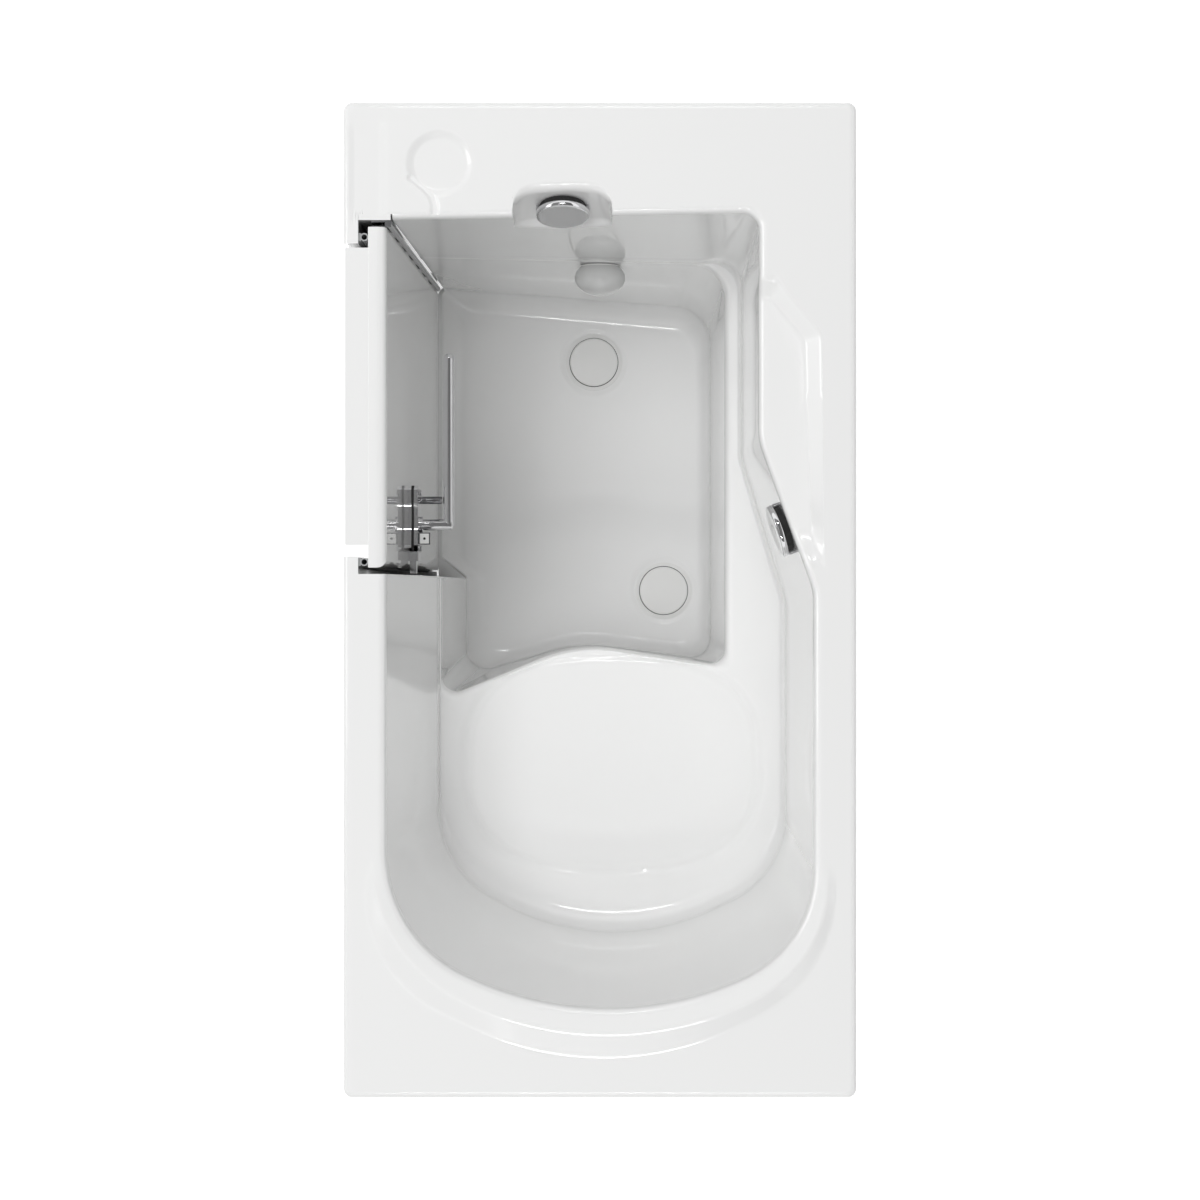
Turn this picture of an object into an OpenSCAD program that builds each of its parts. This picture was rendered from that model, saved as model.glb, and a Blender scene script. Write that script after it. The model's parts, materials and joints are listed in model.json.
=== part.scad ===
/* [Overall] */
// Length of the deck, from the foot end to the seat end
tub_l = 1321; // [1260:1:1520]
// Width of the deck, from the door side to the wall side
tub_w = 681; // [670:1:760]
// Height of the deck above the floor of the room
deck_z = 957; // [920:1:1040]
// Thickness of the acrylic and fibreglass skin
skin = 6; // [5:0.5:8]

/* [Basin] */
// Width of the deck at the foot end, at the hinge corner
foot_deck = 156; // [145:1:175]
// Width of the deck behind the backrest
back_deck = 111; // [95:1:130]
// Width of the deck on the door side
front_deck = 56.5; // [54:0.5:70]
// Width of the deck on the wall side, beside the seat
wall_deck = 55.5; // [50:0.5:70]
// Extra width of the deck on the wall side, beside the footwell
arm_deck = 70; // [50:1:80]
// Height of the footwell floor above the room's floor
floor_z = 135; // [130:1:150]
// Height of the seat above the footwell floor
seat_h = 430; // [400:1:450]
// Length of the footwell, from the foot wall to the nose of the seat
footwell_l = 580; // [575:1:640]
// Lean of the backrest over its height
back_lean = 69; // [50:1:80]
// Lean of the front wall beside the seat, over its height
front_lean = 47; // [40:1:55]
// Height that the foot wall is twisted inward at the bottom of the wall side
foot_twist = 50; // [30:1:60]
// Height of the roll round the seat end above the deck
roll_h = 8; // [4:1:14]
// Depth of the armrest below the deck
arm_d = 17; // [10:1:22]
// Radius of the roll along the outer edge of the deck
edge_r = 8; // [6:1:9]
// Height of the down-turned edge of the deck
edge_h = 45; // [35:1:60]
// Length of the oval seat pad, front to back
pad_l = 315; // [260:5:330]
// Width of the oval seat pad
pad_w = 429; // [380:1:440]
// Place of the pad's middle along the tub
pad_x = 240; // [225:1:250]
// Place of the pad's middle across the tub
pad_y = 18; // [10:1:26]
// Width of the groove round the pad
groove_w = 8; // [5:1:12]
// Depth of the groove round the pad
groove_t = 2; // [1:0.5:3]
// Diameter of the soap dish
dish_d = 80; // [70:1:90]
// Depth of the soap dish
dish_t = 3.5; // [2:0.5:4]
// Distance of the soap dish's middle from the foot wall
dish_back = 73.5; // [65:0.5:85]
// Distance of the soap dish's middle from the centre line, toward the door
dish_side = 212; // [190:1:230]

/* [Door] */
// Length of the rebate that the door closes into
rebate_l = 470; // [440:1:475]
// Length of the clear opening in the door frame
opening_l = 414.4; // [380:0.2:415]
// Distance from the foot wall to the clear opening
opening_x = 32; // [30:0.5:36]
// Thickness of the lip that the door closes against
lip_t = 20; // [16:0.5:22]
// Height of the rebate's floor above the footwell floor
sill_h = 33; // [28:1:40]
// Height of the lip above the rebate's floor
sill_lip = 28; // [20:1:36]
// Gap between the lip and the door, filled by the seal
seal_gap = 13; // [11:0.5:14]
// Thickness of the inner part of the door at the top
door_t = 24; // [22:0.5:26]
// Lean of the inner face of the door over its height
door_lean = 23; // [15:1:26]
// Gap between the door and its frame at the hinge side of the rebate
door_gap_h = 9; // [8:0.5:11]
// Gap between the door and its frame at the latch side of the rebate
door_gap_l = 8.5; // [8:0.5:11]
// Gap between the outer part of the door and the clear opening at the hinge side
plug_gap_h = 5.6; // [5:0.1:8]
// Gap between the outer part of the door and the clear opening at the latch side
plug_gap_l = 14.6; // [12:0.1:18]
// Gap under the door
door_gap_z = 4; // [3:0.5:6]
// Radius of the rounded ends and top of the door
door_r = 12; // [8:1:12]

/* [Hinge] */
// Diameter of the hinge's knuckles
knuckle_d = 10; // [9:0.5:11]
// Diameter of the hinge pin
pin_d = 4; // [3:0.5:5]
// Radial clearance of the pin in the loose knuckles
pin_clear = 0.05; // [0.02:0.01:0.1]
// Length of one knuckle
knuckle_l = 48; // [40:1:60]
// Gap between two knuckles
knuckle_gap = 0.6; // [0.4:0.1:1]
// Thickness of a hinge leaf
leaf_t = 2; // [1.5:0.1:2.5]
// Width of a hinge leaf
leaf_w = 26; // [22:1:32]

/* [Latch] */
// Height of the latch below the deck
latch_d = 303; // [240:1:340]
// Distance from the latch side of the rebate to the latch's spindle
latch_x = 74; // [70:1:80]
// Diameter of the lever's bar
bar_d = 16; // [14:0.5:18]
// Length of the lever's bar from the spindle to its free end
bar_l = 246; // [220:1:250]
// Distance of the bar's centre from the door
bar_off = 57; // [52:1:60]
// Diameter of the latch's spindle
spindle_d = 14; // [12:0.5:16]
// Throw of the bolt
bolt_throw = 16; // [12:1:18]
// Height of the bolt
bolt_h = 16; // [12:0.5:18]
// Thickness of the bolt
bolt_t = 9; // [8:0.5:10]
// Clearance round the bolt
bolt_clear = 0.4; // [0.3:0.1:0.6]
// Clearance of the bolt's tip from the strike plate when it is drawn back
bolt_rest = 2; // [1.5:0.1:3]
/* [Waste and overflow] */
// Distance of the foot drain from the foot wall
drain_a_x = 116; // [105:1:130]
// Distance of the foot drain from the centre line, toward the door
drain_a_y = 10; // [0:1:20]
// Distance of the seat drain from the nose of the seat
drain_b_x = 91; // [85:1:110]
// Distance of the seat drain from the centre line, toward the wall
drain_b_y = 104; // [95:1:106]
// Outer diameter of a drain's flange
drain_d = 92; // [88:1:96]
// Diameter of a drain's cap
cap_d = 78; // [72:1:82]
// Bore of a drain
drain_bore = 44; // [38:1:46]
// Lift of a drain's cap
cap_lift = 9; // [6:0.5:11]
// Diameter of a cap's stem
stem_d = 8; // [7:0.5:10]
// Radial clearance of a stem in its guide
stem_clear = 0.05; // [0.03:0.01:0.1]
// Outer diameter of the waste pipe
pipe_d = 40; // [38:1:42]
// Wall of the waste pipe
pipe_wall = 2.5; // [2:0.1:3]
// Height of the waste pipe's centre above the room's floor
pipe_z = 66; // [64:0.5:70]
// Outer diameter of an overflow pipe
over_d = 36; // [32:1:38]
// Diameter of a control knob
knob_d = 72; // [66:1:76]
// Thickness of a control knob
knob_t = 13; // [11:0.5:15]
// Gap between a control knob and the wall, where the overflow water enters
knob_gap = 4; // [3:0.5:6]
// Diameter of a control's spindle
knob_pin = 10; // [9:0.5:12]
// Tilt of the foot control, up from level
foot_tilt = 18; // [16:0.5:20]
// Depth of the foot control's centre below the deck
foot_knob_d = 45; // [43:1:50]
// Distance of the foot control from the centre line, toward the door
foot_knob_y = 50; // [46:1:54]
// Depth of the seat control's centre below the deck
side_knob_d = 62; // [60:1:75]
// Distance of the seat control from the nose of the seat
side_knob_x = 172; // [160:1:185]
// Turn of the seat control's wall from the line of the tub
side_turn = 19.4; // [18:0.1:21]
// Diameter of the inlet fitting's cover on the foot wall
inlet_d = 76; // [70:1:80]
// Reach of the inlet fitting's cover into the footwell
inlet_out = 44; // [36:1:47]
// Height of the inlet fitting above the footwell floor
inlet_h = 392; // [370:1:410]

/* [Carcass] */
// Outer width of the frame's square tube
tube_w = 25; // [22:1:30]
// Wall of the frame's square tube
tube_t = 2; // [1.5:0.1:3]
// Height of the underside of the frame above the room's floor
frame_z = 50; // [46:1:54]
// Distance of the frame from the edge of the deck
frame_in = 14; // [13:0.5:18]
// Diameter of a foot's pad
pad_d = 42; // [40:1:50]
// Thickness of a foot's pad
pad_t = 12; // [10:1:16]
// Diameter of a foot's stud
stud_d = 12; // [10:1:14]
// Radial clearance of a stud in its socket
stud_clear = 0.06; // [0.03:0.01:0.1]
// Thickness of a panel
panel_t = 3; // [2.5:0.1:4]
// Gap under the panels
panel_z = 14; // [10:1:20]
// Height over which a panel stands behind the edge of the deck
panel_lap = 18; // [12:1:24]

/* [Hidden] */

$fn = 48;
hl = tub_l / 2;
hw = tub_w / 2;
// lines of the basin in plan
foot_x = foot_deck - hl;
back_x = hl - back_deck;
front_y = front_deck - hw;
wall_y = hw - wall_deck;
arm_y = wall_y - arm_deck;
nose_x = foot_x + footwell_l;
rebate_x = foot_x + rebate_l;
open_x0 = foot_x + opening_x;
open_x1 = open_x0 + opening_l;
// levels
seat_z = floor_z + seat_h;
rebate_z = floor_z + sill_h;
lip_z = rebate_z + sill_lip;
floor_r = 45;
seat_back_y = wall_y - 13;
ledge_y = arm_y - 7;
dish_x = foot_x - dish_back;
dish_y = -dish_side;

// ---- lofted skin of the tub ----
// An outline has one corner for each entry [x, y, radius], in the same order on
// every level: hinge corner, jog at the latch post, seat and backrest, wall side.
seg = [3, 1, 1, 6, 7, 6, 3, 0, 3, 0, 0, 4];
corners = len(seg);
function unit(v) = v / norm(v);
function xy(c) = [c[0], c[1]];
function arc_at(s, e, m, f, n, k) = f < 2 ? s + (e - s) * k / n
    : m + ((s - m) * sin(f - f * k / n) + (e - m) * sin(f * k / n)) / sin(f);
function corner(a, b, c, r, n) = n == 0 ? [b] :
    let (u = unit(a - b), w = unit(c - b), f = 180 - acos(max(-1, min(1, u * w))),
        flat = f < 2, tl = flat ? 0.3 * r : r * tan(f / 2),
        m = flat ? b : b + unit(u + w) * r / cos(f / 2))
    [for (k = [0 : n]) arc_at(b + u * tl, b + w * tl, m, f, n, k)];
function outline(c) = [for (i = [0 : corners - 1])
    each corner(xy(c[(i + corners - 1) % corners]), xy(c[i]), xy(c[(i + 1) % corners]),
        c[i][2], seg[i])];
// smooth step from 0 at a to 1 at b
function step(x, a, b) = let (t = max(0, min(1, (x - a) / (b - a)))) t * t * (3 - 2 * t);
// where the roll stands up round the seat end, and where the armrest dips
roll_x = back_x - 205;
function roll_at(p) = step(p[0], roll_x, roll_x + 90);
arm_x0 = foot_x + 74;
arm_x1 = nose_x - 115;
function arm_at(p) = p[1] < 100 ? 0
    : step(p[0], arm_x0, arm_x0 + 34) * (1 - step(p[0], arm_x1 - 60, arm_x1));
function ring(z, c, roll = 0, dip = 0) = [for (p = outline(c))
    [p[0], p[1], z + roll * roll_at(p) - dip * arm_at(p)]];
function blend(a, b, wxy, wz) = [for (i = [0 : len(a) - 1])
    [a[i][0] + (b[i][0] - a[i][0]) * wxy, a[i][1] + (b[i][1] - a[i][1]) * wxy,
        a[i][2] + (b[i][2] - a[i][2]) * wz]];
// rings of a hollow fillet, from level ground up into a wall, without its ends
function hollow(a, b, n) = [for (k = [1 : n - 1]) blend(a, b, sin(90 * k / n), 1 - cos(90 * k / n))];
// rings of a rounded edge, from a wall over onto level ground, without its ends
function round_over(a, b, n) = [for (k = [1 : n - 1]) blend(a, b, 1 - cos(90 * k / n), sin(90 * k / n))];

post_x = rebate_x;
jog = 34;
low_y = front_y + front_lean + 20;
seat_front_y = front_y + front_lean;
door_low_y = front_y + door_lean + 3;
door_mid_y = front_y + door_lean / 2;
function foot_back(z) = foot_x - 14 + foot_twist * (deck_z - z) / (deck_z - floor_z);
// straight stretch of the wall side, between the arm and the foot wall
function arm_side(y, x) = [[x + 170, y, 0], [x + 110, y, 0]];

floor_c = [[foot_x + 43, door_low_y + 43, 25], [post_x - jog, door_low_y + 40, 12],
    [post_x + 2, low_y + 38, 12], [nose_x + 10, low_y + 38, 40], [nose_x - 28, -34, 230],
    [nose_x - 6, ledge_y - 54, 40], [nose_x - 96, ledge_y - 54, 20],
    [nose_x - 150, ledge_y - 54, 0], [nose_x - 290, ledge_y - 54, 40],
    each arm_side(ledge_y - 54, foot_back(floor_z) + 50),
    [foot_back(floor_z) + 50, ledge_y - 54, 45]];
floor_wall_c = [[foot_x, door_low_y, 8], [post_x - jog, door_low_y, 12],
    [post_x - 2, low_y, 12], [nose_x + 48, low_y, 35], [nose_x - 6, -34, 230],
    [nose_x + 22, ledge_y - 29, 32], [nose_x - 96, ledge_y - 29, 20],
    [nose_x - 150, ledge_y - 29, 0], [nose_x - 290, ledge_y - 29, 40],
    each arm_side(ledge_y - 29, foot_back(floor_z + floor_r)),
    [foot_back(floor_z + floor_r), ledge_y - 29, 60]];
nose_c = [[foot_x, door_mid_y, 6], [post_x - jog, door_mid_y, 12],
    [post_x - 2, seat_front_y + 5, 12], [nose_x + 70, seat_front_y + 5, 22],
    [nose_x - 13, -34, 230], [nose_x + 21, ledge_y - 24, 20], [nose_x - 96, ledge_y - 24, 20],
    [nose_x - 150, ledge_y - 24, 0], [nose_x - 290, ledge_y - 24, 40],
    each arm_side(ledge_y - 24, foot_back(seat_z)), [foot_back(seat_z), ledge_y - 24, 50]];
seat_in_c = [[foot_x, door_mid_y, 6], [post_x - jog, door_mid_y, 12],
    [post_x - 2, seat_front_y + 3, 12], [nose_x + 83, seat_front_y + 3, 20],
    [nose_x, -34, 230], [nose_x + 34, ledge_y - 12, 16], [nose_x - 90, ledge_y - 12, 20],
    [nose_x - 145, ledge_y - 12, 0], [nose_x - 288, ledge_y - 12, 45],
    each arm_side(ledge_y - 12, foot_back(seat_z) - 3),
    [foot_back(seat_z) - 3, ledge_y - 12, 50]];
seat_out_c = [[foot_x, door_mid_y, 6], [post_x - jog, door_mid_y, 12],
    [post_x - 2, seat_front_y + 2, 12], [back_x - 197, seat_front_y + 2, 130],
    [back_x - back_lean - 6, 8, 370], [back_x - 187, seat_back_y - 10, 120],
    [nose_x - 76, seat_back_y - 10, 80], [nose_x - 140, seat_back_y - 28, 0],
    [nose_x - 283, ledge_y - 6, 60], each arm_side(ledge_y - 6, foot_back(seat_z) - 4),
    [foot_back(seat_z) - 4, ledge_y - 6, 44]];
back_low_c = [[foot_x, door_mid_y, 6], [post_x - jog, door_mid_y, 12],
    [post_x - 2, seat_front_y, 12], [back_x - 157, seat_front_y, 150],
    [back_x - back_lean + 44, 8, 340], [back_x - 147, seat_back_y, 140],
    [nose_x - 74, seat_back_y, 90], [nose_x - 140, seat_back_y - 20, 0],
    [nose_x - 283, ledge_y, 70], each arm_side(ledge_y, foot_back(seat_z) - 5),
    [foot_back(seat_z) - 5, ledge_y, 40]];
function rim_c(out) = [[foot_x - out, front_y + 1 - out, 6 + out],
    [post_x - jog, front_y + 1 - out, 12], [post_x - 2, front_y + 1 - out, 12],
    [back_x - 102 + out, front_y + 1 - out, 182 + out], [back_x + 32 + out, 7, 432 + out],
    [back_x - 90 + out, wall_y - 2 + out, 160 + out], [nose_x - 88, wall_y - 2 + out, 60],
    [nose_x - 145, wall_y - 22 + out, 0], [nose_x - 289, arm_y - 4 + out, 90],
    [arm_x0 + 34, arm_y - 4 + out, 0], [arm_x0, arm_y - 4 + out, 0],
    [foot_x - 9 - out, arm_y - 4 + out, 22 + out / 2]];
crest_c = [[foot_x - 20, front_y - 18, 26], [post_x - jog, front_y - 18, 12],
    [post_x - 2, front_y - 18, 12], [back_x - 74, front_y - 18, 205],
    [back_x + 66, 7, 450], [back_x - 62, wall_y + 18, 180], [nose_x - 84, wall_y + 17, 60],
    [nose_x - 136, wall_y - 2, 0], [nose_x - 421, wall_y - 13, 20],
    [arm_x0 + 33, arm_y + 12, 0], [arm_x0 - 4, arm_y + 10, 0], [foot_x - 30, arm_y + 12, 32]];
slope_c = [[foot_x - 32, front_y - 30, 30], [post_x - jog, front_y - 30, 12],
    [post_x - 2, front_y - 30, 12], [back_x - 52, front_y - 29, 200], [back_x + 106, 8, 400],
    [back_x - 52, wall_y + 28, 200], [nose_x - 82, wall_y + 28, 60],
    [nose_x - 126, wall_y + 12, 0], [nose_x - 428, wall_y + 9, 28],
    [arm_x0 + 20, arm_y + 31, 0], [arm_x0 - 8, arm_y + 14, 0], [foot_x - 40, arm_y + 21, 36]];
function edge_c(in, r) = [[in - hl, in - hw, r], [post_x - jog, in - hw, 12],
    [post_x - 2, in - hw, 12], [hl - in, in - hw, r], [hl - in, 0, 400], [hl - in, hw - in, r],
    [nose_x - 82, hw - in, 30], [nose_x - 136, hw - in, 0], [nose_x - 428, hw - in, 28],
    [arm_x0 - 5, hw - in, 0], [arm_x0 - 50, hw - in, 0], [in - hl, hw - in, r]];

r_floor = ring(floor_z, floor_c);
r_floor_wall = ring(floor_z + floor_r, floor_wall_c);
r_nose = ring(seat_z - 14, nose_c);
r_seat_in = ring(seat_z, seat_in_c);
r_seat_out = ring(seat_z + 1, seat_out_c);
r_back_low = ring(seat_z + 36, back_low_c);
r_rim_low = ring(deck_z - 12, rim_c(0), roll_h * 0.6, arm_d);
r_rim = ring(deck_z, rim_c(10), roll_h * 0.8, arm_d);
r_crest = ring(deck_z, crest_c, roll_h, arm_d);
r_slope = ring(deck_z, slope_c);
r_edge_top = ring(deck_z, edge_c(edge_r, 8));
r_edge = ring(deck_z - edge_r, edge_c(0, 12));
r_edge_low = ring(deck_z - edge_h, edge_c(0, 12));
floor_mid = [(foot_x + nose_x) / 2, 0, floor_z];
// the face that is seen, ring by ring, from the middle of the floor to the outer edge
face_rings = [[for (p = r_floor) floor_mid + (p - floor_mid) * 0.62], r_floor,
    each hollow(r_floor, r_floor_wall, 3), r_floor_wall, r_nose,
    each round_over(r_nose, r_seat_in, 2), r_seat_in, r_seat_out,
    each hollow(r_seat_out, r_back_low, 3), r_back_low,
    for (t = [1 : 2]) blend(r_back_low, r_rim_low, t / 3, t / 3), r_rim_low,
    each round_over(r_rim_low, r_rim, 3), r_rim, r_crest, r_slope, r_edge_top,
    each round_over(r_edge, r_edge_top, 2), r_edge, r_edge_low];
n_ring = len(face_rings);
n_pt = len(face_rings[0]);
// normal of the face at point i of ring j
function face_normal(j, i) = let (
    a = face_rings[j][(i + 1) % n_pt] - face_rings[j][(i + n_pt - 1) % n_pt],
    b = face_rings[min(j + 1, n_ring - 1)][i] - face_rings[max(j - 1, 0)][i])
    unit(cross(b, a));
// a layer of the skin, a distance below the face
function layer(t) = [for (j = [0 : n_ring - 1]) [for (i = [0 : n_pt - 1])
    face_rings[j][i] - t * face_normal(j, i)]];
function middle(r) = [for (a = [0 : 2]) let (v = [for (p = r) p[a]]) (min(v) + max(v)) / 2];
// a closed body through rings of points, each end closed by a fan
module loft(rings) {
    n = len(rings);
    last = (n - 1) * n_pt;
    pts = [for (r = rings) each r, middle(rings[0]), middle(rings[n - 1])];
    sides = [for (j = [0 : n - 2], i = [0 : n_pt - 1]) let (k = (i + 1) % n_pt)
        each [[j * n_pt + i, j * n_pt + k, (j + 1) * n_pt + k],
            [j * n_pt + i, (j + 1) * n_pt + k, (j + 1) * n_pt + i]]];
    ends = [for (i = [0 : n_pt - 1]) let (k = (i + 1) % n_pt)
        each [[n * n_pt, k, i], [n * n_pt + 1, last + i, last + k]]];
    polyhedron(pts, [each sides, each ends], convexity = 12);
}
module skin_loft() {
    back = layer(skin);
    loft([each face_rings, for (j = [n_ring - 1 : -1 : 0]) back[j]]);
}

// ---- places shared by several pieces ----
// extrude a profile of (y, z) points from x0 to x1
module along_x(x0, x1) translate([x0, 0, 0]) rotate([90, 0, 90]) linear_extrude(x1 - x0) children();
// extrude a profile of (x, z) points from y0 to y1
module along_y(y0, y1) translate([0, y1, 0]) rotate([90, 0, 0]) linear_extrude(y1 - y0) children();
module box(a, b) translate(a) cube(b - a);
module tube(r1, r2, h) difference() {
    cylinder(r = r1, h = h);
    translate([0, 0, -1]) cylinder(r = r2, h = h + 2);
}

wall_x = foot_x + 1;
lean_a = atan(door_lean / (deck_z - rebate_z));
door_in_y = front_y + 0.5;
function door_face_y(z) = door_in_y + door_lean * (deck_z - z) / (deck_z - rebate_z);
lip_in_y = lip_t - hw;
door_x0 = wall_x + door_gap_h;
door_x1 = rebate_x - door_gap_l;
door_split_y = lip_in_y + seal_gap;
hinge_x = wall_x + door_gap_h / 2;
hinge_y = door_in_y + 2.5;
knuckle_r = min(knuckle_d, door_gap_h - 0.6) / 2;
hinge_top = 6;
hinge_l = deck_z - rebate_z - 24;
n_knuckle = 2 * floor((hinge_l / (knuckle_l + knuckle_gap) - 1) / 2) + 1;
leaf_l = n_knuckle * (knuckle_l + knuckle_gap) - knuckle_gap;
leaf_reach = min(leaf_w, door_t - 1);
hinge_screw_n = 6;
hinge_screw_r = 2;
module at_hinge() translate([hinge_x, hinge_y, deck_z - hinge_top]) rotate([lean_a, 0, 0]) children();
// places of the hinge's screws, down from the hinge's top
function hinge_screw_z(k) = -leaf_l * (k + 0.5) / hinge_screw_n;
hinge_screw_y = -0.62 * leaf_reach;

latch_z = deck_z - latch_d;
latch_px = rebate_x - latch_x;
module at_latch() translate([latch_px, door_face_y(latch_z), latch_z]) rotate([lean_a, 0, 0]) children();
bolt_y = 1.6 + bolt_clear;
bolt_tip = latch_x - bolt_rest - 1.5;

drain_a = [foot_x + drain_a_x, -drain_a_y];
drain_b = [nose_x - drain_b_x, drain_b_y];
drain_rec = 3;
drain_rec_r = drain_d / 2 + 8;
tail_r = drain_bore / 2 + 2.5;
under_z = floor_z - skin;

// control knobs: local z points into the basin, z = 0 is the wall's face
pocket_d = 105;
pocket_top = foot_x - 37;
foot_face_x = pocket_top + foot_knob_d * tan(foot_tilt);
module at_foot_knob() translate([foot_face_x, -foot_knob_y, deck_z - foot_knob_d])
    rotate([0, 90 - foot_tilt, 0]) children();
side_kx = nose_x - side_knob_x;
arm_run = (nose_x - 88) - (nose_x - 289);
function side_wall_y(x) = arm_y - 4 + (x - nose_x + 289) * (wall_y - arm_y + 2) / arm_run;
side_tilt = 3;
side_face_y = side_wall_y(side_kx) - side_knob_d * tan(side_tilt) - 1;
module at_side_knob() translate([side_kx, side_face_y, deck_z - side_knob_d])
    rotate([0, 90 - side_tilt, side_turn - 90]) children();
over_hole_r = 23;
boss_r = knob_d / 2 + 2;
boss_back = skin + 3;

// inlet fitting: local z points into the footwell
inlet_z = floor_z + inlet_h;
inlet_wall_x = foot_x - 6 + foot_twist * 0.28;
module at_inlet() translate([inlet_wall_x, 0, inlet_z]) rotate([0, 90, 0]) children();
inlet_bore = 34;

// ---- tub ----
// The door frame is bonded under the skin: two jambs and a sill, with the lip
// that the door closes against.
frame_gap = 0.3;
frame_x0 = foot_x - 26;
frame_x1 = rebate_x + 26;
skin_cut_x = foot_x - skin - 1;
// outer face of the frame, which steps out below the turned-down edge of the deck
function frame_front(top, back) = let (y = skin + frame_gap - hw)
    [[y + 4, top], [y, top - 4], [y, deck_z - edge_h - 0.5],
    [0.4 - hw, deck_z - edge_h - 0.5], [0.4 - hw, under_z], each back];
module door_frame_blank() {
    deck_low = deck_z - skin - frame_gap;
    side = skin + 1.8;
    // hinge jamb, and the part of it that comes up through the deck behind the hinge
    along_x(frame_x0, skin_cut_x) polygon(frame_front(deck_low,
        [[front_y - 14, under_z], [front_y - 14, deck_low]]));
    along_x(skin_cut_x, wall_x) polygon([[lip_in_y - 1, under_z],
        [door_face_y(rebate_z) - 1, under_z], [door_face_y(rebate_z) - 1, rebate_z],
        [door_face_y(deck_z) + 6, deck_z], [lip_in_y + 0.3, deck_z], [lip_in_y + 0.3, deck_low],
        [lip_in_y - 1, deck_low]]);
    // latch post, behind the skin of the front wall
    along_x(rebate_x - 4, frame_x1) polygon(frame_front(deck_low,
        [[low_y - side - 22, under_z], [low_y - side - 2, floor_z + floor_r],
        [seat_front_y - side, seat_z - 14], [seat_front_y - 5 - side, seat_z + 36],
        [front_y - 1 - side, deck_z - 16], [front_y - 16, deck_low]]));
    // lip all round
    along_x(frame_x0, frame_x1) polygon(frame_front(deck_low, [[lip_in_y, under_z], [lip_in_y, deck_low]]));
    // sill under the door
    along_x(frame_x0, frame_x1) polygon([[0.4 - hw, under_z], [door_low_y - side + 1, under_z],
        [door_low_y - side + 1, rebate_z], [lip_in_y, lip_z + 1], [0.4 - hw, lip_z + 1]]);
}
module rebate_cut(x0, y) along_x(x0, rebate_x) polygon([[y, rebate_z], [y, deck_z + 20],
    [door_face_y(deck_z + 20) + 8, deck_z + 20], [door_face_y(rebate_z) + 8, rebate_z]]);
module jog_cut() box([rebate_x - 60, front_y - 8, rebate_z], [rebate_x, front_y + 90, deck_z + 20]);
module door_frame() color("white") difference() {
    door_frame_blank();
    rebate_cut(wall_x, lip_in_y);
    jog_cut();
    box([open_x0, -hw - 5, lip_z], [open_x1, lip_in_y + 1, deck_z + 20]);
    hinge_frame_holes();
    strike_holes();
}
module hinge_frame_holes() at_hinge() for (k = [0 : hinge_screw_n - 1])
    translate([-20, hinge_screw_y, hinge_screw_z(k)]) rotate([0, 90, 0])
        cylinder(r = hinge_screw_r, h = 20, $fn = 24);
pocket_w0 = -foot_knob_y - 67;
pocket_w1 = -foot_knob_y + 65;
function pocket_back_x(d) = pocket_top + d * tan(foot_tilt) - skin / cos(foot_tilt);
function pocket_profile(g, up) = [[pocket_top - g, deck_z + up], [foot_x + 30, deck_z + up],
    [foot_x + 30, deck_z - pocket_d - g], [pocket_top - g + pocket_d * tan(foot_tilt), deck_z - pocket_d - g],
    [pocket_top - g, deck_z]];
// groove round the seat's pad, a rounded oval
pad_power = 2.7;
function pad_outline(out) = [for (a = [0 : 7.5 : 352.5]) [
    pad_x + (pad_l / 2 + out) * sign(cos(a)) * pow(abs(cos(a)), 2 / pad_power),
    pad_y + (pad_w / 2 + out) * sign(sin(a)) * pow(abs(sin(a)), 2 / pad_power)]];
module pad_groove() translate([0, 0, seat_z - groove_t]) linear_extrude(20) difference() {
    polygon(pad_outline(groove_w / 2));
    polygon(pad_outline(-groove_w / 2));
}
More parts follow.
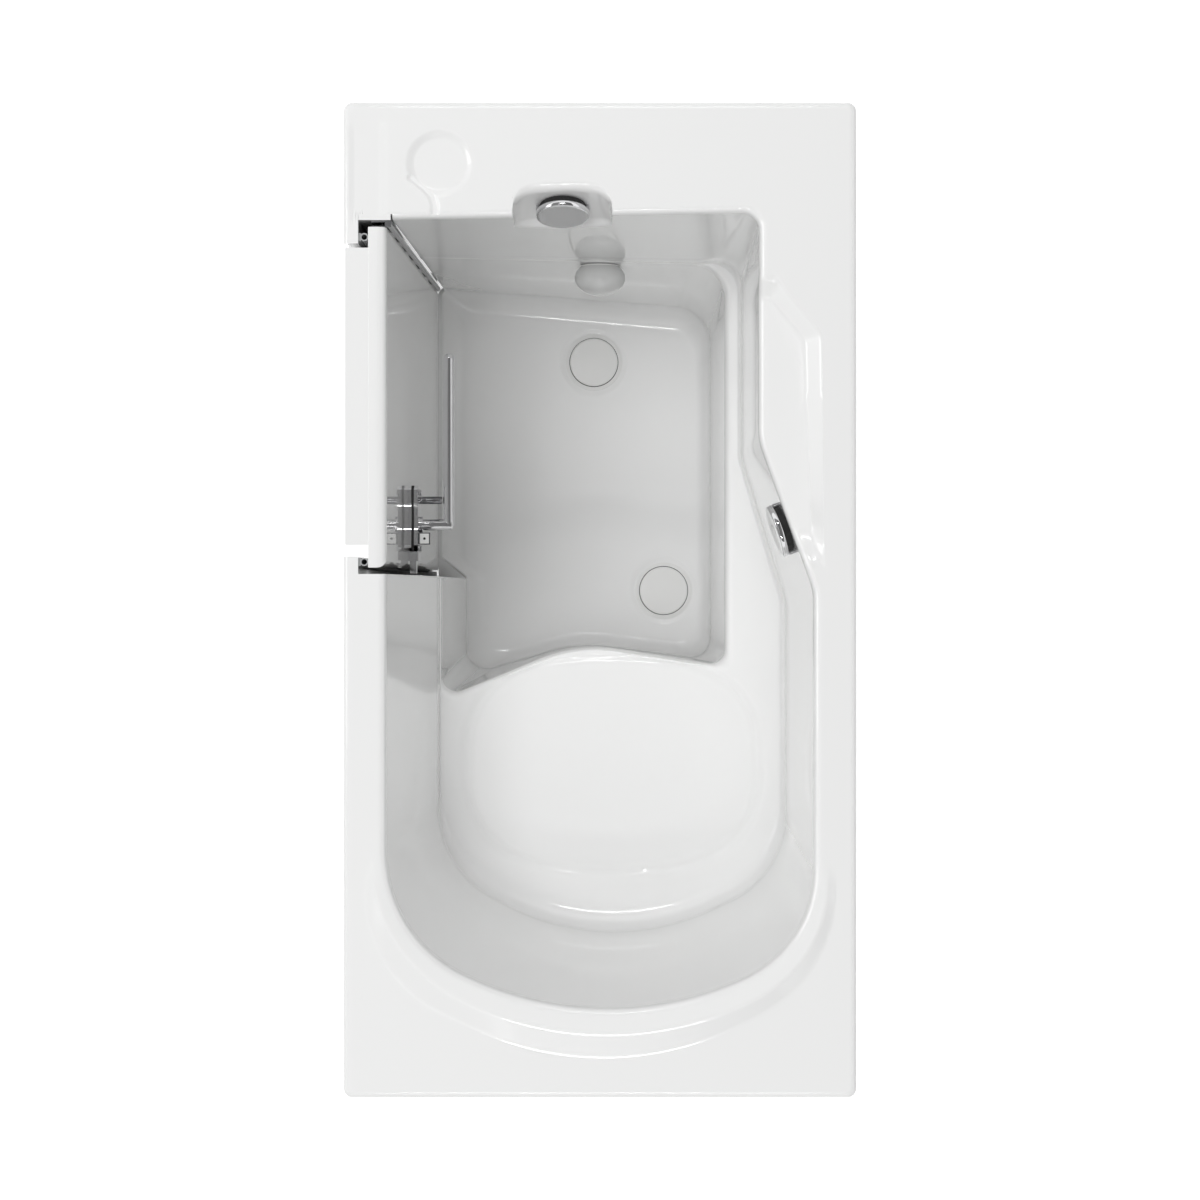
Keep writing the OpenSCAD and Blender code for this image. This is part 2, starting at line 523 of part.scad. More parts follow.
// soap dish in the foot end of the deck, with a channel to drain it into the tub
module soap_dish() translate([0, 0, deck_z - dish_t]) {
    translate([dish_x, dish_y, 0]) cylinder(r = dish_d / 2, h = 20);
    box([dish_x + dish_d / 2 - 6, dish_y + 2, 0], [foot_x + 6, dish_y + 18, 20]);
}
module tub_shell() color("white") difference() {
    union() {
        skin_loft();
        // back of the overflow pocket
        along_y(pocket_w0 - skin, pocket_w1 + skin) polygon([[pocket_back_x(3), deck_z - 3],
            [foot_x - 13, deck_z - 3], [foot_x - 6, deck_z - pocket_d - 8],
            [pocket_back_x(pocket_d + 8), deck_z - pocket_d - 8]]);
        // flat boss for the seat end's control
        at_side_knob() translate([0, 0, -boss_back]) cylinder(r = boss_r, h = boss_back);
        // pads under the drains
        for (d = [drain_a, drain_b]) translate([d[0], d[1], under_z - drain_rec])
            cylinder(r = drain_rec_r + 4, h = skin);
        // pad behind the inlet
        at_inlet() translate([0, 0, -skin - 5]) cylinder(r = inlet_d / 2 + 4, h = skin + 5);
    }
    pad_groove();
    soap_dish();
    // way in through the door
    rebate_cut(skin_cut_x, lip_in_y);
    jog_cut();
    box([open_x0, -hw - 5, lip_z], [open_x1, lip_in_y + 1, deck_z + 20]);
    along_y(pocket_w0, pocket_w1) polygon(pocket_profile(0, 20));
    for (d = [drain_a, drain_b]) translate([d[0], d[1], 0]) {
        translate([0, 0, floor_z - drain_rec]) cylinder(r = drain_rec_r, h = 20);
        translate([0, 0, under_z - 20]) cylinder(r = tail_r + 1, h = 60);
    }
    at_foot_knob() translate([0, 0, -60]) cylinder(r = over_hole_r, h = 80);
    at_side_knob() translate([0, 0, -60]) cylinder(r = over_hole_r, h = 80);
    at_inlet() translate([0, 0, -40]) cylinder(r = inlet_bore / 2, h = 80);
    // flat seat for the inlet's cover
    at_inlet() cylinder(r = inlet_d / 2 + 1, h = 20);
    // flat seat behind the wall for the seat end's overflow
    at_side_knob() translate([0, 0, -boss_back - 30]) cylinder(r = boss_r - 1, h = 30);
}
module strike_holes() at_latch() {
    // pocket for the bolt
    translate([latch_x - 1, bolt_y - bolt_clear, -bolt_h / 2 - bolt_clear])
        cube([bolt_throw + 4, bolt_t + 2 * bolt_clear, bolt_h + 2 * bolt_clear]);
}

// ---- door ----
function rounded(c, n) = [for (i = [0 : len(c) - 1]) let (k = len(c))
    each corner(xy(c[(i + k - 1) % k]), xy(c[i]), xy(c[(i + 1) % k]), c[i][2], n)];
plug_x0 = open_x0 + plug_gap_h;
plug_x1 = open_x1 - plug_gap_l;
plug_y = 2.5 - hw;
door_z0 = rebate_z + door_gap_z;
plug_z0 = lip_z + door_gap_z;
module door_panel() color("whitesmoke") difference() {
    union() {
        // inner part, which lies behind the lip
        intersection() {
            along_x(door_x0, door_x1) polygon(rounded([[door_split_y, door_z0, 1],
                [door_face_y(door_z0), door_z0, 8], [door_face_y(deck_z), deck_z, door_r],
                [door_split_y, deck_z, 1]], 5));
            translate([0, door_in_y, deck_z]) rotate([lean_a, 0, 0])
                translate([0, 0, -deck_z]) linear_extrude(2 * deck_z)
                polygon(rounded([[door_x0, -90, 1], [door_x1, -90, 1],
                    [door_x1, 0, door_r], [door_x0, 0, 0.4]], 5));
        }
        // outer part, which fills the clear opening
        along_x(plug_x0, plug_x1) polygon([[plug_y, plug_z0], [door_split_y + 1, plug_z0],
            [door_split_y + 1, deck_z - 0.2], [plug_y, deck_z - 0.2]]);
    }
    // shallow field in the outer face
    translate([0, plug_y - 1, 0]) rotate([90, 0, 0]) mirror([0, 0, 1])
        linear_extrude(3) polygon(rounded([[plug_x0 + 40, plug_z0 + 45, 22],
            [plug_x1 - 40, plug_z0 + 45, 22], [plug_x1 - 40, deck_z - 60, 22],
            [plug_x0 + 40, deck_z - 60, 22]], 5));
    at_hinge() for (k = [0 : hinge_screw_n - 1])
        translate([0, hinge_screw_y, hinge_screw_z(k)]) rotate([0, 90, 0])
            cylinder(r = hinge_screw_r, h = 24, $fn = 24);
    at_latch() for (s = latch_screw_at) translate([s[0], 1, s[1]]) rotate([90, 0, 0])
        cylinder(r = latch_screw_r, h = 16, $fn = 24);
}

// seal: a hollow bulb on a strip, stuck to the lip on three sides of the opening
bulb_r = (seal_gap - 2.3) / 2;
bulb_wall = 1.6;
seal_bend = 16;
seal_x0 = (wall_x + open_x0) / 2 + 6;
seal_x1 = (open_x1 + door_x1) / 2;
seal_z = (rebate_z + lip_z) / 2 + 1;
module seal_profile() difference() {
    union() {
        translate([0, bulb_r + 2]) circle(r = bulb_r, $fn = 32);
        translate([-bulb_r, 0]) square([2 * bulb_r, 3]);
    }
    translate([0, bulb_r + 2]) circle(r = bulb_r - bulb_wall, $fn = 32);
}
module seal_leg(x) translate([x, lip_in_y, seal_z + seal_bend])
    linear_extrude(deck_z - 8 - seal_z - seal_bend) seal_profile();
module seal_corner(x, turn) translate([x, lip_in_y, seal_z + seal_bend]) rotate([-90, 0, 0])
    rotate([0, 0, turn]) rotate_extrude(angle = 90) translate([seal_bend, 0]) seal_profile();
module door_seal() color("gray") {
    seal_leg(seal_x0);
    seal_leg(seal_x1);
    seal_corner(seal_x0 + seal_bend, 90);
    seal_corner(seal_x1 - seal_bend, 0);
    translate([seal_x0 + seal_bend, lip_in_y, seal_z]) rotate([90, 0, 90])
        linear_extrude(seal_x1 - seal_x0 - 2 * seal_bend) rotate(-90) mirror([1, 0]) seal_profile();
}

// ---- piano hinge ----
// one leaf: every second knuckle, from the first (0) or the second (1)
module leaf(side, first, bore) {
    far = door_gap_h / 2;
    difference() {
        union() {
            for (k = [first : 2 : n_knuckle - 1]) {
                z = -k * (knuckle_l + knuckle_gap) - knuckle_l;
                translate([side > 0 ? far - leaf_t : -far, -knuckle_r - 1, z])
                    cube([leaf_t, knuckle_r + 1, knuckle_l]);
                translate([0, 0, z]) cylinder(r = knuckle_r, h = knuckle_l);
            }
            translate([side > 0 ? far - leaf_t : -far, -leaf_reach, -leaf_l])
                cube([leaf_t, leaf_reach - knuckle_r - 0.4, leaf_l]);
        }
        translate([0, 0, -leaf_l - 1]) cylinder(r = bore, h = leaf_l + 2);
        for (k = [0 : hinge_screw_n - 1]) translate([-far - 1, hinge_screw_y, hinge_screw_z(k)])
            rotate([0, 90, 0]) cylinder(r = hinge_screw_r, h = 2 * far + 2, $fn = 24);
    }
}
module hinge_frame_leaf() color("silver") at_hinge() leaf(-1, 0, pin_d / 2);
module hinge_door_leaf() color("silver") at_hinge() leaf(1, 1, pin_d / 2 + pin_clear);
module hinge_pin() color("gainsboro") at_hinge() {
    translate([0, 0, -leaf_l]) cylinder(r = pin_d / 2, h = leaf_l);
    translate([-knuckle_r, -knuckle_r, 0]) cube([2 * knuckle_r, 2 * knuckle_r, 3]);
}
module hinge_screw(side) translate([side * (door_gap_h / 2 - leaf_t), hinge_screw_y, 0])
    rotate([0, side * 90, 0]) {
        cylinder(r = hinge_screw_r, h = 16, $fn = 24);
        translate([0, 0, -1.2]) cylinder(r = hinge_screw_r + 1.6, h = 1.2, $fn = 24);
    }
module hinge_screws() color("silver") at_hinge() for (k = [0 : hinge_screw_n - 1])
    translate([0, 0, hinge_screw_z(k)]) hinge_screw(-1);
module hinge_door_screws() color("silver") at_hinge() for (k = [0 : hinge_screw_n - 1])
    translate([0, 0, hinge_screw_z(k)]) hinge_screw(1);

// ---- latch ----
base_h = 44;
base_x0 = -55;
base_x1 = 39;
base_mid = -8;
peg_x = -35;
base_t = 14.5;
boss_t = 20;
latch_screw_r = 2;
latch_screw_at = [for (x = [base_x0 + 9, base_x1 - 5], z = [14, -14]) [x, z]];
module latch_base() color("silver") at_latch() difference() {
    union() {
        // waisted housing
        rotate([-90, 0, 0]) linear_extrude(base_t) difference() {
            polygon(rounded([[base_x0, -base_h / 2, 9], [base_x1, -base_h / 2, 9],
                [base_x1, base_h / 2, 9], [base_x0, base_h / 2, 9]], 4));
            for (s = [-1, 1]) translate([base_mid, s * (base_h / 2 + 56)]) circle(r = 60, $fn = 96);
        }
        rotate([-90, 0, 0]) cylinder(r = spindle_d / 2 + 5, h = boss_t);
        // peg that carries the end of the housing's cover
        translate([peg_x, 0, 0]) rotate([-90, 0, 0]) cylinder(r = 4, h = 40);
    }
    rotate([-90, 0, 0]) translate([0, 0, bolt_y + bolt_t + bolt_clear])
        cylinder(r = spindle_d / 2 + 0.05, h = 30);
    translate([-12 - bolt_clear, bolt_y - bolt_clear, -bolt_h / 2 - bolt_clear])
        cube([base_x1 + 20, bolt_t + 2 * bolt_clear, bolt_h + 2 * bolt_clear]);
    for (s = latch_screw_at) translate([s[0], -1, s[1]]) rotate([-90, 0, 0])
        cylinder(r = latch_screw_r, h = 30, $fn = 24);
}
module latch_lever() color("silver") at_latch() {
    arm_end = bar_off + bar_d / 2;
    rotate([-90, 0, 0]) {
        translate([0, 0, bolt_y + bolt_t + bolt_clear + 0.5])
            cylinder(r = spindle_d / 2, h = boss_t - bolt_y - bolt_t - bolt_clear);
        translate([0, 0, boss_t + 0.4]) cylinder(r = bar_d / 2, h = arm_end - boss_t - 4);
    }
    translate([0, bar_off, 0]) rotate([0, -90, 0]) {
        cylinder(r = bar_d / 2, h = bar_l - bar_d / 2);
        translate([0, 0, bar_l - bar_d / 2]) sphere(r = bar_d / 2);
    }
    translate([0, bar_off, 0]) sphere(r = bar_d / 2);
}
module latch_bolt() color("silver") at_latch()
    translate([-12, bolt_y, -bolt_h / 2]) cube([bolt_tip + 12, bolt_t, bolt_h]);
guide_x0 = base_x1 + 0.4;
guide_x1 = latch_x - door_gap_l - door_r - 1;
module latch_guide() color("silver") at_latch() difference() {
    translate([guide_x0, 0, -base_h / 2 + 6]) cube([guide_x1 - guide_x0, base_t, base_h - 12]);
    translate([guide_x0 - 1, bolt_y - bolt_clear, -bolt_h / 2 - bolt_clear])
        cube([20, bolt_t + 2 * bolt_clear, bolt_h + 2 * bolt_clear]);
}
module latch_stop() color("silver") at_latch() difference() {
    translate([12, base_t, 5]) cube([17, 17, 12]);
    translate([20.5, base_t + 9, 12]) cylinder(r = 3, h = 10);
}
module latch_screws() color("silver") at_latch() for (s = latch_screw_at)
    translate([s[0], 0, s[1]]) rotate([-90, 0, 0]) {
        translate([0, 0, -14]) cylinder(r = latch_screw_r, h = 14 + base_t, $fn = 24);
        translate([0, 0, base_t]) cylinder(r = latch_screw_r + 2, h = 2, $fn = 24);
    }
strike_t = 1.5;
module strike_plate() color("silver") at_latch() difference() {
    translate([latch_x - strike_t, -6, -base_h / 2]) cube([strike_t, 24, base_h]);
    translate([latch_x - 4, bolt_y - bolt_clear, -bolt_h / 2 - bolt_clear])
        cube([8, bolt_t + 2 * bolt_clear, bolt_h + 2 * bolt_clear]);
}

// ---- controls and overflows ----
module control_knob() {
    r = knob_d / 2;
    // face with a rounded edge, and its spindle
    rotate_extrude($fn = 64) polygon([[0, knob_gap], [r - 2, knob_gap], [r, knob_gap + 2],
        [r, knob_gap + knob_t - 4], each [for (a = [0 : 30 : 90])
            [r - 4 + 4 * cos(a), knob_gap + knob_t - 4 + 4 * sin(a)]],
        [r - 14, knob_gap + knob_t], [r - 20, knob_gap + knob_t - 2], [0, knob_gap + knob_t - 2]]);
    translate([0, 0, -over_depth + 6]) cylinder(r = knob_pin / 2, h = over_depth - 6 + knob_gap + 1);
}
module foot_knob() color("silver") at_foot_knob() control_knob();
module seat_knob() color("silver") at_side_knob() control_knob();

over_depth = 56;
over_r = 30;
over_wall = 3;
gasket_t = 2;
knob_bore = knob_pin / 2 + 0.05;
// hidden cup behind the wall, with the spindle's bearing on three ribs
module overflow_cup(behind) {
    back = behind + gasket_t;
    difference() {
        union() {
            translate([0, 0, -back - 4]) cylinder(r = over_r + 6, h = 4);
            translate([0, 0, -over_depth]) cylinder(r = over_r, h = over_depth - back);
        }
        translate([0, 0, -over_depth + over_wall]) cylinder(r = over_r - over_wall, h = over_depth);
        translate([0, 0, -over_depth - 1]) cylinder(r = knob_bore, h = 20);
    }
    difference() {
        union() {
            translate([0, 0, -over_depth]) cylinder(r = knob_pin / 2 + 3, h = over_depth - back - 2);
            for (a = [0, 120, 240]) rotate(a + 30)
                translate([knob_bore + 1, -1.2, -over_depth + 1]) cube([over_r - over_wall - knob_bore, 2.4, over_depth - back - 12]);
        }
        translate([0, 0, -over_depth - 1]) cylinder(r = knob_bore, h = over_depth + 2);
    }
}
module overflow_gasket(behind) translate([0, 0, -behind - gasket_t]) tube(over_r + 6, over_hole_r, gasket_t);
module overflow_gaskets() color("dimgray") {
    at_foot_knob() overflow_gasket(skin);
    at_side_knob() overflow_gasket(boss_back);
}

module rod(a, b, r) let (d = b - a) translate(a)
    rotate([0, acos(d[2] / norm(d)), atan2(d[1], d[0])]) cylinder(r = r, h = norm(d));
// a quarter bend at p, from direction u to direction w
module bend(p, u, w, r, br) let (x = -w, z = cross(x, u))
    multmatrix([[x[0], u[0], z[0], p[0] + (w[0] - u[0]) * br],
        [x[1], u[1], z[1], p[1] + (w[1] - u[1]) * br],
        [x[2], u[2], z[2], p[2] + (w[2] - u[2]) * br]])
    rotate_extrude(angle = 90) translate([br, 0]) circle(r = r);
// a run of round pipe with square turns
module run(p, r, br) {
    n = len(p);
    for (i = [0 : n - 2]) let (u = unit(p[i + 1] - p[i]))
        rod(p[i] + u * (i == 0 ? 0 : br), p[i + 1] - u * (i == n - 2 ? 0 : br), r);
    if (n > 2) for (i = [1 : n - 2]) bend(p[i], unit(p[i] - p[i - 1]), unit(p[i + 1] - p[i]), r, br);
}
module pipe_run(p, r, wall, br) difference() {
    run(p, r, br);
    let (n = len(p)) run([p[0] - unit(p[1] - p[0]), each [for (i = [1 : n - 2]) p[i]],
        p[n - 1] + unit(p[n - 1] - p[n - 2])], r - wall, br);
}

// middle of each hidden cup, in the part's own axes
cup_mid = 33;
foot_n = [cos(foot_tilt), 0, sin(foot_tilt)];
side_n = [cos(side_tilt) * sin(side_turn), -cos(side_tilt) * cos(side_turn), sin(side_tilt)];
foot_cup = [foot_face_x, -foot_knob_y, deck_z - foot_knob_d] - cup_mid * foot_n;
side_cup = [side_kx, side_face_y, deck_z - side_knob_d] - cup_mid * side_n;
over_ri = over_d / 2 - pipe_wall;
socket_wall = 3;
socket_l = 15;
socket_clear = 0.1;
spigot_l = over_r + 20;
gland_r = 6;
gland_out = over_r + 6;
cable_d = 6;
down = [0, 0, -1];
module overflow_body(cup, gland) difference() {
    union() {
        children();
        rod(cup + down * (over_r - 2), cup + down * spigot_l, over_d / 2 + socket_wall);
        rod(cup + gland * (over_r - 4), cup + gland * gland_out, gland_r);
    }
    rod(cup + down * (over_r - 10), cup + down * (spigot_l + 1), over_ri);
    rod(cup + down * (spigot_l - socket_l), cup + down * (spigot_l + 1), over_d / 2 + socket_clear);
}
foot_gland = [0, -1, 0];
side_gland = [-1, 0, 0];
module foot_overflow_body() color("dimgray") overflow_body(foot_cup, foot_gland)
    at_foot_knob() overflow_cup(skin);
module seat_overflow_body() color("dimgray") overflow_body(side_cup, side_gland)
    at_side_knob() overflow_cup(boss_back);

// ---- waste pipes ----
pipe_bend = 40;
collect_x = drain_a[0] - 82;
tail_y = 50;
tail_z = 12;
outlet_l = 32;
drain_r = tail_r + 4.5;
spigot_end = drain_r + 18;
collar_r = pipe_d / 2 + 3;
collar_l = 18;
over_bend = 30;
foot_pipe_end = foot_cup[0] + over_bend + 2;
side_pipe_end = drain_b[1] + 45;
foot_pipe = [foot_cup + down * (spigot_l - socket_l + 1),
    [foot_cup[0], foot_cup[1], pipe_z], [foot_pipe_end + socket_l - 1, foot_cup[1], pipe_z]];
side_pipe = [side_cup + down * (spigot_l - socket_l + 1),
    [side_cup[0], side_cup[1], pipe_z], [side_cup[0], side_pipe_end - socket_l + 1, pipe_z]];
module foot_overflow_pipe() color("lightgray") pipe_run(foot_pipe, over_d / 2, pipe_wall, over_bend);
module seat_overflow_pipe() color("lightgray") pipe_run(side_pipe, over_d / 2, pipe_wall, over_bend);

module waste_runs(r, g) {
    run([[drain_b[0] - spigot_end + socket_l - 1 + g, drain_b[1], pipe_z],
        [collect_x, drain_b[1], pipe_z], [collect_x, foot_cup[1], pipe_z],
        [foot_pipe_end - g, foot_cup[1], pipe_z]], r, pipe_bend);
    rod([drain_a[0] - spigot_end + socket_l - 1 + g, drain_a[1], pipe_z],
        [collect_x, drain_a[1], pipe_z], r);
    rod([side_cup[0], side_pipe_end + g, pipe_z], [side_cup[0], drain_b[1], pipe_z], r);
    rod([collect_x, tail_y, tail_z - g], [collect_x, tail_y, pipe_z], r);
}
// the four sockets that take the drains and the overflow pipes
module waste_sockets(r, l, g) {
    for (d = [drain_a, drain_b])
        rod([d[0] - spigot_end + socket_l - 1 + g, d[1], pipe_z],
            [d[0] - spigot_end + socket_l - 1 - l, d[1], pipe_z], r);
    rod([foot_pipe_end - g, foot_cup[1], pipe_z], [foot_pipe_end + l, foot_cup[1], pipe_z], r);
    rod([side_cup[0], side_pipe_end + g, pipe_z], [side_cup[0], side_pipe_end - l, pipe_z], r);
}
module waste_pipe() color("lightgray") difference() {
    union() {
        waste_runs(pipe_d / 2, 0);
        waste_sockets(collar_r, collar_l, 0);
        // stop for the coupling on the outlet
        translate([collect_x, tail_y, tail_z + outlet_l]) cylinder(r = collar_r, h = 5);
    }
    waste_runs(pipe_d / 2 - pipe_wall, 1);
    waste_sockets(over_d / 2 + socket_clear, socket_l, 1);
}

// ---- drains ----
flange_t = 3;
flange_z = floor_z - drain_rec;
body_z = under_z - drain_rec - gasket_t;
body_z0 = pipe_z - over_d / 2 - 4;
body_flange_r = drain_rec_r - 8;
guide_z = flange_z - 22;
guide_h = 16;
stem_bore = stem_d / 2 + stem_clear;
cap_gap = 0.4;
module at_drain(d) translate([d[0], d[1], 0]) children();
module drain_flange() {
    difference() {
        union() {
            translate([0, 0, flange_z]) cylinder(r = drain_d / 2, h = flange_t);
            translate([0, 0, flange_z - 26]) cylinder(r = tail_r, h = 27);
        }
        translate([0, 0, flange_z - 30]) cylinder(r = drain_bore / 2, h = 60);
    }
    // cross that carries the stem's guide
    difference() {
        translate([0, 0, guide_z]) union() {
            cylinder(r = stem_bore + 3, h = guide_h);
            for (a = [0, 90]) rotate(a) translate([-drain_bore / 2 - 1, -1.5, 2])
                cube([drain_bore + 2, 3, 9]);
        }
        translate([0, 0, guide_z - 1]) cylinder(r = stem_bore, h = guide_h + 2);
    }
}
module foot_drain_flange() color("white") at_drain(drain_a) drain_flange();
module seat_drain_flange() color("white") at_drain(drain_b) drain_flange();
module drain_cap() {
    top = flange_z + flange_t + cap_gap;
    r = cap_d / 2;
    translate([0, 0, top]) rotate_extrude($fn = 64) polygon([[0, 0], [r - 1, 0], [r, 1.5], [r, 3.5],
        [r - 2, 5], each [for (k = [1 : 5]) [(r - 2) * (1 - k / 5), 5 + 2.4 * (1 - pow(1 - k / 5, 2))]]]);
    translate([0, 0, guide_z - 6]) cylinder(r = stem_d / 2, h = top - guide_z + 7);
}
module foot_drain_cap() color("white") at_drain(drain_a) drain_cap();
module seat_drain_cap() color("white") at_drain(drain_b) drain_cap();
module drain_gaskets() color("dimgray") for (d = [drain_a, drain_b]) at_drain(d)
    translate([0, 0, body_z]) tube(body_flange_r, tail_r + 1, gasket_t);
function drain_gland(d, g, z) = [d[0], d[1], z] + g * gland_out;
module drain_body(d, g, z) difference() {
    union() {
        at_drain(d) {
            translate([0, 0, body_z - 4]) cylinder(r = body_flange_r, h = 4);
            translate([0, 0, body_z0]) cylinder(r = drain_r, h = body_z - body_z0);
        }
        rod([d[0], d[1], pipe_z], [d[0] - spigot_end, d[1], pipe_z], over_d / 2);
        rod([d[0], d[1], z] + g * (drain_r - 3), drain_gland(d, g, z), gland_r);
    }
    at_drain(d) translate([0, 0, body_z0 + 3]) cylinder(r = tail_r + 0.1, h = 200);
    rod([d[0], d[1], pipe_z], [d[0] - spigot_end - 1, d[1], pipe_z], over_ri);
}
foot_cable_z = 80;
side_cable_z = 96;
cable_bend = 14;
module foot_drain_body() color("dimgray") drain_body(drain_a, [0, -1, 0], foot_cable_z);
module seat_drain_body() color("dimgray") drain_body(drain_b, [0, 1, 0], side_cable_z);

// sheathed cables from the controls to the drains, each one tube along its route
foot_cable_y = -110;
side_cable_x = side_cup[0] - 64;
side_cable_y = 196;
cable_sides = 10;
corner_n = 5;
// stations of a route with rounded corners: the place and the direction of each
function corner_stations(p, u, w, br) = [for (k = [0 : corner_n]) let (a = 90 * k / corner_n)
    [p - u * br * (1 - sin(a)) + w * br * (1 - cos(a)), u * cos(a) + w * sin(a)]];
function stations(p, br) = let (m = len(p) - 1) [[p[0], unit(p[1] - p[0])],
    each [for (i = [1 : m - 1]) each corner_stations(p[i], unit(p[i] - p[i - 1]), unit(p[i + 1] - p[i]), br)],
    [p[m], unit(p[m] - p[m - 1])]];
// a vector across the route, carried from station to station without twist
function carried(s, v, i = 0) = i == len(s) ? [] :
    let (c = unit(v - (v * s[i][1]) * s[i][1])) [c, each carried(s, c, i + 1)];
module cable(p) let (s = stations(p, cable_bend), c = carried(s, [1, 1, 1]), m = cable_sides,
    last = (len(s) - 1) * m)
    polyhedron([for (j = [0 : len(s) - 1], k = [0 : m - 1]) let (a = 360 * k / m)
        s[j][0] + (c[j] * cos(a) + cross(s[j][1], c[j]) * sin(a)) * cable_d / 2],
        [[for (k = [0 : m - 1]) k], [for (k = [1 : m]) last + m - k],
        for (j = [0 : m : last - m], k = [0 : m - 1]) let (a = j + k, b = j + (k + 1) % m)
            each [[a, a + m, b + m], [a, b + m, b]]]);
module foot_cable() color("black") cable([foot_cup + foot_gland * gland_out,
    [foot_cup[0], foot_cable_y, foot_cup[2]], [foot_cup[0], foot_cable_y, foot_cable_z],
    [drain_a[0], foot_cable_y, foot_cable_z], drain_gland(drain_a, [0, -1, 0], foot_cable_z)]);
module seat_cable() color("black") cable([side_cup + side_gland * gland_out,
    [side_cable_x, side_cup[1], side_cup[2]], [side_cable_x, side_cup[1], side_cable_z],
    [side_cable_x, side_cable_y, side_cable_z], [drain_b[0], side_cable_y, side_cable_z],
    drain_gland(drain_b, [0, 1, 0], side_cable_z)]);

// ---- inlet fitting on the foot wall ----
inlet_tail = 48;
inlet_pad = skin + 5;
inlet_wall = 4;
nut_t = 9;
nut_r = 26;
module inlet_body() color("white") at_inlet() difference() {
    union() {
        cylinder(r = inlet_d / 2 - 8, h = 3);
        translate([0, 0, -inlet_tail]) cylinder(r = inlet_bore / 2, h = inlet_tail + 12);
    }
    translate([0, 0, -inlet_tail - 1]) cylinder(r = inlet_bore / 2 - inlet_wall, h = inlet_tail + 20);
}
module inlet_cover() color("white") at_inlet() rotate_extrude($fn = 64) {
    r = inlet_d / 2;
    polygon([[r - 3, 0], [r, 0], [r, inlet_out - 12], each [for (a = [15 : 15 : 75])
        [r - 12 + 12 * cos(a), inlet_out - 12 + 10 * sin(a)]],
        [r - 12, inlet_out - 2], [r * 0.4, inlet_out - 0.4], [0, inlet_out],
        [0, inlet_out - 3], [r - 12, inlet_out - 5], [r - 3, inlet_out - 14]]);
}
module inlet_nut() color("white") at_inlet() translate([0, 0, -inlet_pad - nut_t]) difference() {
    cylinder(r = nut_r, h = nut_t, $fn = 6);
    translate([0, 0, -1]) cylinder(r = inlet_bore / 2, h = nut_t + 2);
}
// elbow over the inlet's tail, which turns down to the supply
elbow_r = 12.5;
elbow_bend = 20;
elbow_x = inlet_wall_x - inlet_tail - 24;
elbow_drop = 72;
module elbow_run(r, g) run([[inlet_wall_x - inlet_tail + 2 + g, 0, inlet_z], [elbow_x, 0, inlet_z],
    [elbow_x, 0, inlet_z - elbow_drop - g]], r, elbow_bend);
module inlet_elbow() color("white") difference() {
    union() {
        elbow_run(elbow_r, 0);
        at_inlet() translate([0, 0, -inlet_tail - 4]) cylinder(r = inlet_bore / 2 + 4, h = 24);
    }
    elbow_run(elbow_r - 3, 1);
    at_inlet() translate([0, 0, -inlet_tail - 0.2]) cylinder(r = inlet_bore / 2 + 0.1, h = 40);
}

// ---- frame ----
panel_in = skin + 0.3;
rail_out_y = hw - panel_in - panel_t;
rail_out_x = hl - panel_in - panel_t;
rail_in_y = rail_out_y - tube_w;
rail_in_x = rail_out_x - tube_w;
rail_top = frame_z + tube_w;
deck_under = deck_z - skin;
bearer_z = pipe_z + pipe_d / 2 + 2;
bearer_x = [foot_x + 200, foot_x + 300];
// a length of square tube between two corners, hollow along one axis
module square_tube(a, b, axis) difference() {
    box(a, b);
    g = [for (i = [0 : 2]) i == axis ? -1 : tube_t];
    box(a + g, b - g);
}
module rail_x(x0, x1, y, z) square_tube([x0, y, z], [x1, y + tube_w, z + tube_w], 0);
module rail_y(x, y0, y1, z) square_tube([x, y0, z], [x + tube_w, y1, z + tube_w], 1);
module post(x, y, z0, z1) square_tube([x, y, z0], [x + tube_w, y + tube_w, z1], 2);
front_gap_x0 = foot_x - 28;
front_gap_x1 = rebate_x + 28;
module frame_screw_holes() {
    for (x = panel_screw_x) translate([x, -rail_out_y - 1, panel_screw_z]) rotate([-90, 0, 0])
        cylinder(r = screw_r, h = tube_t + 2, $fn = 24);
    for (y = panel_screw_y) translate([-rail_out_x - 1, y, panel_screw_z]) rotate([0, 90, 0])
        cylinder(r = screw_r, h = tube_t + 2, $fn = 24);
}
// rails along the tub: base rails on both sides, and top rails under the deck
module frame_rails() color("silver") difference() {
    union() {
        for (y = [-rail_out_y, rail_in_y]) rail_x(-rail_out_x, rail_out_x, y, frame_z);
        rail_x(-rail_in_x, rail_in_x, rail_in_y, deck_under - tube_w);
        rail_x(-rail_in_x, front_gap_x0 - tube_w, -rail_out_y, deck_under - tube_w);
        rail_x(front_gap_x1 + tube_w, rail_in_x, -rail_out_y, deck_under - tube_w);
    }
    stud_holes();
    frame_screw_holes();
}
